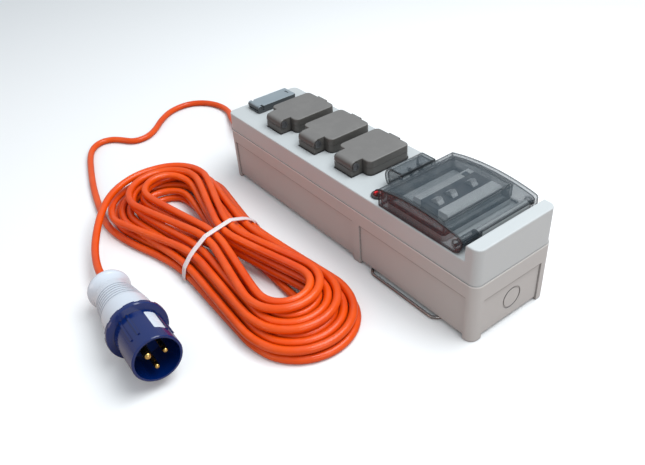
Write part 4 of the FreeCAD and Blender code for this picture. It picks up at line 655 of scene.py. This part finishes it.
@dataclass(frozen=True)
class Tinted:
    """A thin smoked moulding: see-through where it faces the eye, denser where seen at a slant, and
    painted dark at its edges, standing in for the light that its thick rims bend away.
    """

    slot: Slot
    colour: str
    facing: float = 0.17
    edge_on: float = 0.74
    turned_blend: float = 0.42
    turned_range: tuple = (0.1, 0.85)
    roughness: float = 0.08
    skin_gloss: float = 0.8
    grain_size: float = 120.0
    grain_depth: float = 0.02
    mottle: float = 0.15
    dust: float = 0.12
    painted_edge_dark: str = "12161A"
    edge_width: float = 0.004
    edge_samples: int = 6
    edge_range: tuple = (0.93, 0.9993)
    edge_share: float = 0.9
    edge_roughness: float = 0.6

    def at_edges(self, t: NodeTree) -> Socket:
        """Mark the moulding's edges, where its rounded normal leaves its own; there the painted dark of
        refraction goes.

        Args:
            t: The material's wiring helper.

        Returns:
            The mark, from 0 on the faces to the edges' share.
        """
        # Painted dark: the refraction in the thick rims is painted as a dark line along the edges.
        rounded = t.add("ShaderNodeBevel", samples=self.edge_samples, Radius=self.edge_width)
        alike = t.add("ShaderNodeVectorMath", operation="DOT_PRODUCT")
        t.join(rounded.outputs["Normal"], alike.inputs[0])
        t.join(t.add("ShaderNodeNewGeometry").outputs["Normal"], alike.inputs[1])
        return t.spread(alike.outputs["Value"], *self.edge_range, self.edge_share, 0.0)

    def build(self, groups: dict[str, Group]) -> bpy.types.Material:
        """Make the material.

        Args:
            groups: The shared groups by name.

        Returns:
            The material.
        """
        material, t, shader = new_material(self.slot.value, linear(self.colour))
        skin = t.add("ShaderNodeGroup", node_tree=groups[MOULDED.name], Colour=linear(self.colour),
                     Grain_Size=self.grain_size, Grain_Depth=self.grain_depth,
                     Roughness=self.roughness, Mottle=self.mottle, Dust=self.dust)
        t.join(skin.outputs["Normal"], shader.inputs["Normal"])
        edges = self.at_edges(t)
        # Painted dark on the edges, standing in for refraction.
        t.join(t.blend(edges, skin.outputs["Colour"], linear(self.painted_edge_dark)), shader.inputs["Base Color"])
        t.join(t.math("MAXIMUM", t.math("MULTIPLY", skin.outputs["Roughness"], self.skin_gloss),
                      t.math("MULTIPLY", edges, self.edge_roughness)), shader.inputs["Roughness"])
        turned = t.add("ShaderNodeLayerWeight", Blend=self.turned_blend).outputs["Facing"]
        wall = t.spread(turned, *self.turned_range, self.facing, self.edge_on)
        t.join(t.math("MAXIMUM", wall, edges), shader.inputs["Alpha"])
        return material


@dataclass(frozen=True)
class Jacket:
    """The smooth gloss jacket of the lead, with slow waves, rub marks and dust."""

    slot: Slot
    colour: str
    deep: str
    wave_noise: tuple = (22.0, 3.0, 0.5)
    wave_range: tuple = (0.3, 0.7)
    roughness: float = 0.34
    grain_size: float = 260.0
    grain_depth: float = 0.12
    mottle: float = 0.1
    dust: float = 0.05
    specular: float = 0.25
    coat: float = 0.35
    coat_roughness: float = 0.07

    def build(self, groups: dict[str, Group]) -> bpy.types.Material:
        """Make the material.

        Args:
            groups: The shared groups by name.

        Returns:
            The material.
        """
        material, t, shader = new_material(self.slot.value, linear(self.colour))
        skin = t.add("ShaderNodeGroup", node_tree=groups[MOULDED.name], Grain_Size=self.grain_size,
                     Grain_Depth=self.grain_depth, Roughness=self.roughness, Mottle=self.mottle,
                     Dust=self.dust)
        waves = t.spread(t.noise(t.place(), *self.wave_noise), *self.wave_range)
        t.join(t.blend(waves, linear(self.colour), linear(self.deep)), skin.inputs["Colour"])
        t.cover(shader, skin)
        set_up(shader, Specular_IOR_Level=self.specular, Coat_Weight=self.coat,
               Coat_Roughness=self.coat_roughness)
        return material


FINISHES: tuple = (
    # The shade painted into corners and recesses is set for each finish below.
    Shell(Slot.BASE, "BDBBB9", roughness=0.52, grain_depth=0.16, crevice_shade=0.75),
    Plastic(Slot.LID, "C0C4C5", roughness=0.5, grain_depth=0.16, crevice_shade=0.6),
    Plastic(Slot.SEAL, "15161A", roughness=0.75, grain_size=500.0, grain_depth=0.2),
    Metal(Slot.STEEL, "6E6E70", roughness=0.42),
    # The second colour is painted shade on the charger cover's side faces.
    Plastic(Slot.CHARGER, "88939A", roughness=0.34, grain_depth=0.12, side="3F4346", crevice_shade=0.6),
    Plastic(Slot.BLACK, "17181B", roughness=0.4),
    Plastic(Slot.BEZEL, "202124", roughness=0.2, coat=0.3),
    Clear(Slot.NEON, "920810", roughness=0.08, glow=0.04),
    ShadeBanded(Slot.MODULE, "DCDEDE", roughness=0.42, dust=0.03, crevice_shade=0.7),
    Plastic(Slot.TOGGLE, "DADCDD", roughness=0.35, dust=0.03, crevice_shade=0.5),
    Plastic(Slot.BUTTON, "3A4653", roughness=0.35, dust=0.03),
    Metal(Slot.BRASS, "D9B36A", roughness=0.18, dull=0.5),
    Tinted(Slot.CLEAR, "414D55"),
    Metal(Slot.WIRE, "99928F", roughness=0.12, dull=0.25),
    Plastic(Slot.GLAND, "7F8487", roughness=0.45),
    Jacket(Slot.CABLE, "EE5804", "DE4602"),
    Plastic(Slot.CORE, "2A4A9A", roughness=0.35),
    Plastic(Slot.TIE, "E6DADB", roughness=0.35, mottle=0.1, subsurface=0.2),
    # The second colour is painted shade on the socket lids' side faces.
    Plastic(Slot.SOCKET, "716F6D", roughness=0.46, grain_depth=0.2, side="4F4D4A", dust=0.05,
            crevice_shade=0.75),
    Plastic(Slot.FACE, "5A5F64", roughness=0.5),
    Plastic(Slot.GRIP, "D5DCE6", roughness=0.24, grain_depth=0.06, coat=0.25, crevice_shade=0.5),
    Plastic(Slot.BLUE, "00205F", roughness=0.16, grain_depth=0.05, coat=0.25, dust=0.0,
            crevice_shade=0.6),
)


def new_material(name: str, plain: Rgba) -> tuple[bpy.types.Material, NodeTree, Node]:
    """Start a material with one Principled shader.

    Args:
        name: The material's name.
        plain: The plain colour that a viewport shows.

    Returns:
        The material, its wiring helper and its shader.
    """
    material = bpy.data.materials.new(name)
    material.use_nodes = True
    material.diffuse_color = plain
    material.node_tree.nodes.clear()
    t = NodeTree(material.node_tree)
    shader = t.add("ShaderNodeBsdfPrincipled")
    end = t.add("ShaderNodeOutputMaterial")
    t.join(shader.outputs["BSDF"], end.inputs["Surface"])
    return material, t, shader


class Wardrobe:
    """All the finishes, made once and put on by slot."""

    def __init__(self) -> None:
        """Build the shared groups and every finish."""
        groups = {skin.name: skin.build() for skin in (MOULDED, HANDLED)}
        self.materials = {finish.slot.value: finish.build(groups) for finish in FINISHES}

    def dress(self, piece: bpy.types.Object, slot: Slot) -> bpy.types.Object:
        """Give a new piece the finish of a slot.

        Args:
            piece: A mesh or a curve.
            slot: The slot.

        Returns:
            The piece.
        """
        piece.data.materials.clear()
        piece.data.materials.append(self.materials[slot.value])
        return piece

    def dress_frame(self, frame: dict) -> None:
        """Give every part of the frame the finish that the record names.
        """
        for part in frame["record"]["subparts"]:
            node = frame["nodes"][part["node"]]
            node.data.materials.clear()
            node.data.materials.append(self.materials[part["material_slot"]])
            LOG.info("finish %s on %s", part["material_slot"], part["node"])


LAP_POINTS = 24
NEAR_FOLD = range(4, 9)
FAR_FOLD = range(16, 21)


@dataclass(frozen=True)
class Lap:
    """One lap of the hank: its layer, half its width at the tie, its folds' radii and their shifts."""

    layer: int
    at_tie: float
    near: float
    far_start: float
    far_end: float
    near_shift: tuple[float, float] = (0.0, 0.0)
    far_shift: tuple[float, float] = (0.0, 0.0)


@dataclass
class Lead:
    """The orange lead: from the gland round the floor to the hank, its laps, and on to the plug.

    Places and sizes are in millimetres, fold_turn is in degrees, and length is in metres. climbs holds
    how many layers a control point lies above its lap's own layer, by lap and by point.
    """

    diameter: float = 8.5
    length: float = 10.06
    exit: Point = (-240.0, 2.0, 26.0)
    layer_step: float = 9.25
    tie_place: float = -65.0
    tie_lift: float = 2.0
    tie_middle: float = -157.5
    near_middle: float = -152.5
    far_middle: float = -156.0
    near_centres: tuple = (76.0, 73.0, 62.0, 51.0)
    far_centres: tuple = (-190.0, -188.0, -188.0, -189.0)
    first_share: float = 0.42
    before_fold: float = 22.0
    bulge_share: float = 0.035
    fold_turn: float = 30.0
    points_left_out: int = 5
    steps_between: int = 7
    steps_round: int = 6
    laps: tuple = (
        Lap(0, 48, 54.5, 67, 64.6, (1, 0.6), (-1, -2)),
        Lap(0, 36.5, 45.2, 57, 53.5, (0.2, 0), (1.5, -2.9)),
        Lap(0, 22, 24.6, 24.2, 28.7, (-18.5, -12.2), (6, -5)),
        Lap(1, 2.6, 25.2, 24.7, 37.5, (-8.8, -1.2), (5.5, -5.4)),
        Lap(1, 23.6, 36.1, 37.4, 46.5, (0, 0), (1.5, -6)),
        Lap(1, 34.2, 45, 46.5, 55.5, (0, 0), (-0.7, -5.9)),
        Lap(1, 44.8, 54.3, 56.9, 67, (0.6, -0.3), (-0.9, -5.9)),
        Lap(2, 34.2, 45.6, 52, 44.5, (0.4, 0.3), (2.2, -0.5)),
        Lap(2, 23.6, 35.9, 40, 32.1, (1.2, 0.2), (0.2, 1.7)),
        Lap(2, 2.6, 26.5, 28.4, 28.2, (0.5, 0.8), (-3, 1.2)),
        Lap(3, 2.6, 26.5, 37.5, 46.7, (0.1, 0.3), (-0.2, -1.3)),
        Lap(3, 13.2, 37.3, 47.5, 57, (-1.9, 0)))
    climbs: dict = field(default_factory=lambda: {
        (2, 23): 0.3, (3, 0): -0.15,
        (6, 17): 0.05, (6, 18): 0.1, (6, 19): 0.25, (6, 20): 0.45, (6, 21): 0.7, (6, 22): 0.9,
        (6, 23): 1.0,
        (9, 15): 0.2, (9, 16): 0.5, (9, 17): 0.85,
        **{(9, step): 1.0 for step in range(18, LAP_POINTS)}})
    from_box: tuple = (
        (-240, 2, 26), (-264, 2, 26), (-298, 6, 15.5), (-336, 18, 4.9), (-370, 33, 4.3),
        (-410, 26, 4.3), (-434, 0, 4.3), (-432, -34, 4.3), (-413, -61, 4.3), (-391, -81, 4.3),
        (-378, -101, 4.3), (-380, -121, 4.3), (-398, -132, 4.3), (-410, -142, 4.3),
        (-414, -158, 4.3), (-404, -174, 4.3), (-384, -186, 4.3), (-340, -202, 4.3),
        (-296, -216, 4.3), (-250, -227, 4.3), (-204, -236.5, 4.3), (-158, -230, 4.3),
        (-108, -213.5, 4.8))
    to_plug: tuple = (
        (-243, -181, 31.5), (-231, -211, 30), (-209, -234, 27), (-181, -254, 21.5),
        (-150, -271, 16), (-106.3, -282.6, 18.1), (-66.6, -285, 22.4))

    def near_centre(self, lap: Lap) -> tuple[float, float]:
        """Find the middle of a lap's near fold.

        Args:
            lap: The lap.

        Returns:
            Its place along and across, in millimetres.
        """
        return self.near_centres[lap.layer] + lap.near_shift[0], self.near_middle + lap.near_shift[1]

    def far_centre(self, lap: Lap) -> tuple[float, float]:
        """Find the middle of a lap's far fold.

        Args:
            lap: The lap.

        Returns:
            Its place along and across, in millimetres.
        """
        return self.far_centres[lap.layer] + lap.far_shift[0], self.far_middle + lap.far_shift[1]

    def drawn_out(self, radius: float) -> float:
        """Move a control point out, so that the spline keeps a fold's radius.

        Args:
            radius: The fold's radius.

        Returns:
            How far from the fold's middle the control point lies.
        """
        return radius / math.cos(math.radians(self.fold_turn / 2))

    def straight_point(self, number: int, step: int) -> Point:
        """Work out a control point on one of a lap's two long sides.

        Args:
            number: The lap.
            step: The point's number in the lap: 0 at the tie on the near side, half of LAP_POINTS on
                the far side.

        Returns:
            The place in millimetres.
        """
        lap = self.laps[number]
        after = self.laps[min(number + 1, len(self.laps) - 1)]
        returning = step >= FAR_FOLD.stop
        way = -1 if step < NEAR_FOLD.start or returning else 1
        half_lap = LAP_POINTS // 2
        if step <= half_lap:
            count = min(step, half_lap - step)
            end, middle = self.near_centre(lap)
            half = lap.near
        else:
            count = min(step - half_lap, LAP_POINTS - step)
            end, middle = self.far_centre(lap)
            half = lap.far_end if returning else lap.far_start
        half = self.drawn_out(half)
        tied = after.at_tie if returning else lap.at_tie
        run = end - self.tie_place
        before_fold = 1 - self.before_fold / abs(run)
        share = (0.0, self.first_share, before_fold, 1.0)[count]
        bulge = self.bulge_share * (half - tied) if share == before_fold else 0.0
        across = self.tie_middle + (middle - self.tie_middle) * share
        lift = self.tie_lift * max(0.0, 1 - 2 * share)
        return (self.tie_place + run * share, across + way * (tied + (half - tied) * share + bulge),
                self.level(number, step) + lift)

    def level(self, number: int, step: int) -> float:
        """Say how high a lap's control point lies.

        Args:
            number: The lap.
            step: The point's number in the lap.

        Returns:
            Millimetres above the floor.
        """
        layers = self.laps[number].layer + self.climbs.get((number, step), 0.0)
        return self.diameter / 2 + self.layer_step * layers

    def hank_point(self, number: int, step: int) -> Point:
        """Work out a control point of the hank.

        A lap has LAP_POINTS of them, from the tie on its near side round the near fold, back along
        its far side, round the far fold and on to the tie.

        Args:
            number: The lap.
            step: The point's number in the lap.

        Returns:
            The place in millimetres.
        """
        lap = self.laps[number]
        if step in NEAR_FOLD:
            (x, y), fold, way = self.near_centre(lap), NEAR_FOLD, 1
            radius = lap.near
        elif step in FAR_FOLD:
            (x, y), fold, way = self.far_centre(lap), FAR_FOLD, -1
            opened = (step - fold.start + 1) / (len(fold) + 1)
            radius = lap.far_start + (lap.far_end - lap.far_start) * opened
        else:
            return self.straight_point(number, step)
        angle = math.radians(self.fold_turn * (step - fold[len(fold) // 2]))
        reach = way * self.drawn_out(radius)
        return x + reach * math.cos(angle), y + reach * math.sin(angle), self.level(number, step)

    def points(self) -> list[Vector]:
        """List the control points of the whole lead.

        Returns:
            Places in metres.
        """
        hank = [self.hank_point(number, step) for number in range(len(self.laps))
                for step in range(LAP_POINTS)]
        return millimetres([*self.from_box, *hank[:-self.points_left_out], *self.to_plug])

    def build(self, wardrobe: Wardrobe) -> bpy.types.Object:
        """Model the lead as one smooth spline.

        Args:
            wardrobe: The finishes.

        Returns:
            The lead.
        """
        curve = bpy.data.curves.new("lead", "CURVE")
        curve.dimensions = "3D"
        spline = curve.splines.new("NURBS")
        places = self.points()
        spline.points.add(len(places) - 1)
        for point, place in zip(spline.points, places):
            point.co = (*place, 1.0)
        spline.order_u = 3
        spline.use_endpoint_u = True
        spline.resolution_u = self.steps_between
        curve.bevel_depth = self.diameter * MM / 2
        curve.bevel_resolution = self.steps_round
        curve.use_fill_caps = True
        lead = bpy.data.objects.new("lead", curve)
        bpy.context.scene.collection.objects.link(lead)
        wardrobe.dress(lead, Slot.CABLE)
        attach(lead, Body.BOX.value)
        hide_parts("cable_from_box", "cable_hank", "cable_to_plug")
        LOG.info("lead modelled with %d control points", len(places))
        return lead


@dataclass
class Tie:
    """The flat tie round the middle of the hank, in millimetres and degrees.

    corners are the outermost strands' middles, seen along the hank, and strand is how far the tie's
    inner face stands off them.
    """

    width: float = 6.2
    thickness: float = 1.3
    slant: float = -0.2
    place: Point = (-65.0, -157.5, 6.2)
    strand: float = 4.7
    sides: int = 144
    eased_over: tuple = (-9.0, -4.5, 0.0, 4.5, 9.0)
    rounding: float = 0.4
    rounding_steps: int = 3
    corners: tuple = ((-49.2, 0.0), (-46.1, 8.9), (-36.2, 18.2), (-16.2, 27.5), (17.3, 27.5),
                      (36.9, 18.2), (46.9, 8.9), (50.8, 0.0))

    def outline(self, angle: float) -> tuple[float, float]:
        """Find where the tie runs, seen along the hank.

        Args:
            angle: The direction that the tie faces there, in radians.

        Returns:
            Across and up from the middle of the bundle's foot, in millimetres.
        """
        across = up = 0.0
        for turn in self.eased_over:
            way = (math.cos(angle + math.radians(turn)), math.sin(angle + math.radians(turn)))
            corner = max(self.corners, key=lambda c: c[0] * way[0] + c[1] * way[1])
            across += (corner[0] + self.strand * way[0]) / len(self.eased_over)
            up += (corner[1] + self.strand * way[1]) / len(self.eased_over)
        return across, up

    def build(self, wardrobe: Wardrobe) -> bpy.types.Object:
        """Model the band as a thickened ring that follows the strands.

        Args:
            wardrobe: The finishes.

        Returns:
            The tie.
        """
        bpy.ops.object.select_all(action="DESELECT")
        bpy.ops.mesh.primitive_cylinder_add(vertices=self.sides, radius=1.0, depth=self.width * MM,
                                            end_fill_type="NOTHING", location=(0, 0, 0))
        tie = bpy.context.object
        tie.name = "hank_tie"
        for vertex in tie.data.vertices:
            across, up = self.outline(math.atan2(vertex.co.y, vertex.co.x))
            along = math.copysign(self.width / 2, vertex.co.z) + self.slant * across
            vertex.co = Vector((self.place[0] + along, self.place[1] + across, self.place[2] + up)) * MM
        solid = tie.modifiers.new("thickness", "SOLIDIFY")
        solid.thickness = self.thickness * MM
        solid.offset = 1.0
        rounding = tie.modifiers.new("rounding", "BEVEL")
        rounding.width = self.rounding * MM
        rounding.segments = self.rounding_steps
        for modifier in ("thickness", "rounding"):
            bpy.ops.object.modifier_apply(modifier=modifier)
        bpy.ops.object.mode_set(mode="EDIT")
        bpy.ops.mesh.select_all(action="SELECT")
        bpy.ops.mesh.normals_make_consistent(inside=False)
        bpy.ops.object.mode_set(mode="OBJECT")
        bpy.ops.object.shade_smooth_by_angle(angle=SMOOTH_ANGLE)
        wardrobe.dress(tie, Slot.TIE)
        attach(tie, Body.BOX.value)
        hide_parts("cable_tie")
        LOG.info("tie modelled")
        return tie


@dataclass
class PlugLabel:
    """A bare white patch on the plug's shroud, in millimetres and degrees from the tail of its axis."""

    tail: Point = (-78.5, -284.5, 21.3)
    yaw: float = -3.4
    pitch: float = 5.56
    radius: float = 23.4
    start: float = 99.5
    end: float = 127.5
    turn_from: float = 42.0
    turn_to: float = 69.0
    corner: float = 1.6
    corner_steps: int = 5
    strips: int = 12
    clear: float = 0.05
    thickness: float = 0.25

    def build(self, wardrobe: Wardrobe) -> bpy.types.Object:
        """Model the patch as a bent sheet with round corners.

        Args:
            wardrobe: The finishes.

        Returns:
            The patch.
        """
        bpy.ops.object.select_all(action="DESELECT")
        length = self.end - self.start
        arc = math.radians(self.turn_to - self.turn_from) * self.radius
        bpy.ops.mesh.primitive_plane_add(size=1.0, location=(0, 0, 0))
        patch = bpy.context.object
        patch.name = "plug_label"
        patch.scale = (length * MM, arc * MM, 1.0)
        bpy.ops.object.transform_apply(location=False, rotation=False, scale=True)
        bpy.ops.object.mode_set(mode="EDIT")
        bpy.ops.mesh.select_all(action="SELECT")
        bpy.ops.mesh.bevel(offset=self.corner * MM, segments=self.corner_steps, affect="VERTICES")
        for strip in range(1, self.strips):
            cut = (strip / self.strips - 0.5) * arc * MM
            bpy.ops.mesh.select_all(action="SELECT")
            bpy.ops.mesh.bisect(plane_co=(0, cut, 0), plane_no=(0, 1, 0))
        bpy.ops.object.mode_set(mode="OBJECT")
        yaw, pitch = math.radians(self.yaw), math.radians(self.pitch)
        flat = math.cos(pitch)
        head = Vector((flat * math.cos(yaw), flat * math.sin(yaw), math.sin(pitch)))
        side = Vector((-math.sin(yaw), math.cos(yaw), 0.0))
        up = head.cross(side)
        middle = math.radians((self.turn_from + self.turn_to) / 2)
        for vertex in patch.data.vertices:
            angle = middle + vertex.co.y / (self.radius * MM)
            out = side * math.cos(angle) + up * math.sin(angle)
            along = (self.start + self.end) / 2 * MM + vertex.co.x
            vertex.co = Vector(self.tail) * MM + head * along + out * (self.radius + self.clear) * MM
        solid = patch.modifiers.new("thickness", "SOLIDIFY")
        solid.thickness = self.thickness * MM
        solid.offset = 0.0
        bpy.ops.object.modifier_apply(modifier="thickness")
        bpy.ops.object.shade_smooth_by_angle(angle=SMOOTH_ANGLE)
        wardrobe.dress(patch, Slot.GRIP)
        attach(patch, Body.BOX.value)
        LOG.info("plug label modelled")
        return patch


@dataclass(frozen=True)
class SoftBox:
    """A lamp with a wide soft face, in metres and watts."""

    name: str
    place: Point
    aim: Point
    size: tuple[float, float]
    power: float
    colour: str

    def hang(self) -> None:
        """Hang the lamp and turn it to its aim."""
        data = bpy.data.lights.new(self.name, "AREA")
        data.shape = "RECTANGLE"
        data.size, data.size_y = self.size
        data.energy = self.power
        data.color = linear(self.colour)[:3]
        lamp = bpy.data.objects.new(self.name, data)
        bpy.context.scene.collection.objects.link(lamp)
        lamp.location = self.place
        lamp.rotation_euler = (Vector(self.aim) - Vector(self.place)).to_track_quat("-Z", "Y").to_euler()


@dataclass
class Studio:
    """Floor, soft light and the camera of the photograph.

    camera_place is in millimetres; the other sizes are in metres, and the camera's lens and sensor in
    its own millimetres.
    """

    camera_place: Point = (487.138, -400.749, 463.334)
    right: Point = (0.6061, 0.7926, -0.0667)
    up: Point = (-0.44352, 0.40638, 0.79884)
    forward: Point = (-0.66026, 0.45458, -0.59784)
    lens: float = 37.54
    sensor: float = 36.0
    sight: tuple = (0.01, 50.0)
    floor_size: float = 12.0
    floor_colour: Rgba = (0.5, 0.43, 0.40, 1.0)
    floor_seen: Rgba = (0.93, 0.93, 0.93, 1.0)
    floor_roughness: float = 0.8
    floor_specular: float = 0.1
    low_light: str = "D6C4BE"
    high_light: str = "E6F2FA"
    light_range: tuple = (-0.1, 0.7)
    light_strength: float = 0.62
    lamps: tuple = (
        SoftBox("top_box", (0.35, 0.35, 1.3), (0.0, -0.1, 0.0), (1.2, 0.9), 19.5, "F6FAFC"),
        SoftBox("end_box", (1.5, -0.2, 0.6), (0.1, -0.05, 0.05), (0.9, 0.6), 4.2, "FFFFFF"),
        SoftBox("side_box", (-0.3, -1.5, 0.5), (0.0, -0.1, 0.05), (1.0, 0.4), 2.6, "F6DDD2"))

    def camera(self) -> None:
        """Stand the camera where the photograph was taken."""
        data = bpy.data.cameras.new("camera")
        data.lens = self.lens
        data.sensor_width = self.sensor
        data.clip_start, data.clip_end = self.sight
        camera = bpy.data.objects.new("camera", data)
        bpy.context.scene.collection.objects.link(camera)
        turn = Matrix((self.right, self.up, tuple(-v for v in self.forward))).transposed().to_4x4()
        camera.matrix_world = Matrix.Translation(Vector(self.camera_place) * MM) @ turn
        bpy.context.scene.camera = camera

    def floor(self) -> None:
        """Lay a plain floor, paler to the camera than to the object."""
        bpy.ops.object.select_all(action="DESELECT")
        bpy.ops.mesh.primitive_plane_add(size=self.floor_size, location=(0, 0, 0))
        floor = bpy.context.object
        floor.name = "floor"
        material, t, shader = new_material("floor", (1.0, 1.0, 1.0, 1.0))
        seen = t.add("ShaderNodeLightPath").outputs["Is Camera Ray"]
        t.join(t.blend(seen, self.floor_colour, self.floor_seen), shader.inputs["Base Color"])
        set_up(shader, Roughness=self.floor_roughness, Specular_IOR_Level=self.floor_specular)
        floor.data.materials.append(material)

    def world(self) -> None:
        """Light the room softly: cool from above, warmer near the floor, white where it is seen."""
        world = bpy.data.worlds.new("room")
        bpy.context.scene.world = world
        world.use_nodes = True
        world.node_tree.nodes.clear()
        t = NodeTree(world.node_tree)
        _, _, height = t.split(t.add("ShaderNodeTexCoord").outputs["Generated"])
        warm_to_cool = t.blend(t.spread(height, *self.light_range), linear(self.low_light),
                               linear(self.high_light))
        soft = t.add("ShaderNodeBackground", Strength=self.light_strength)
        t.join(warm_to_cool, soft.inputs["Color"])
        seen = t.add("ShaderNodeBackground", Color=(1, 1, 1, 1), Strength=1.0)
        path = t.add("ShaderNodeLightPath")
        direct = t.math("MAXIMUM", path.outputs["Is Camera Ray"], path.outputs["Is Transmission Ray"])
        mix = t.add("ShaderNodeMixShader")
        for start, end in zip((direct, soft.outputs[0], seen.outputs[0]), mix.inputs):
            t.join(start, end)
        t.join(mix.outputs[0], t.add("ShaderNodeOutputWorld").inputs["Surface"])

    def build(self) -> None:
        """Set the whole stage."""
        self.camera()
        self.floor()
        self.world()
        for lamp in self.lamps:
            lamp.hang()
        bpy.context.scene.view_settings.view_transform = "Standard"


def main() -> None:
    """Build the stage and every piece, in order."""
    logging.basicConfig(level=logging.INFO, format="%(name)s: %(message)s")
    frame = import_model()
    Studio().build()
    wardrobe = Wardrobe()
    lead = Lead()
    line = lead.build(wardrobe)
    tie = Tie().build(wardrobe)
    label = PlugLabel().build(wardrobe)
    wardrobe.dress_frame(frame)


if __name__ == "__main__":
    main()
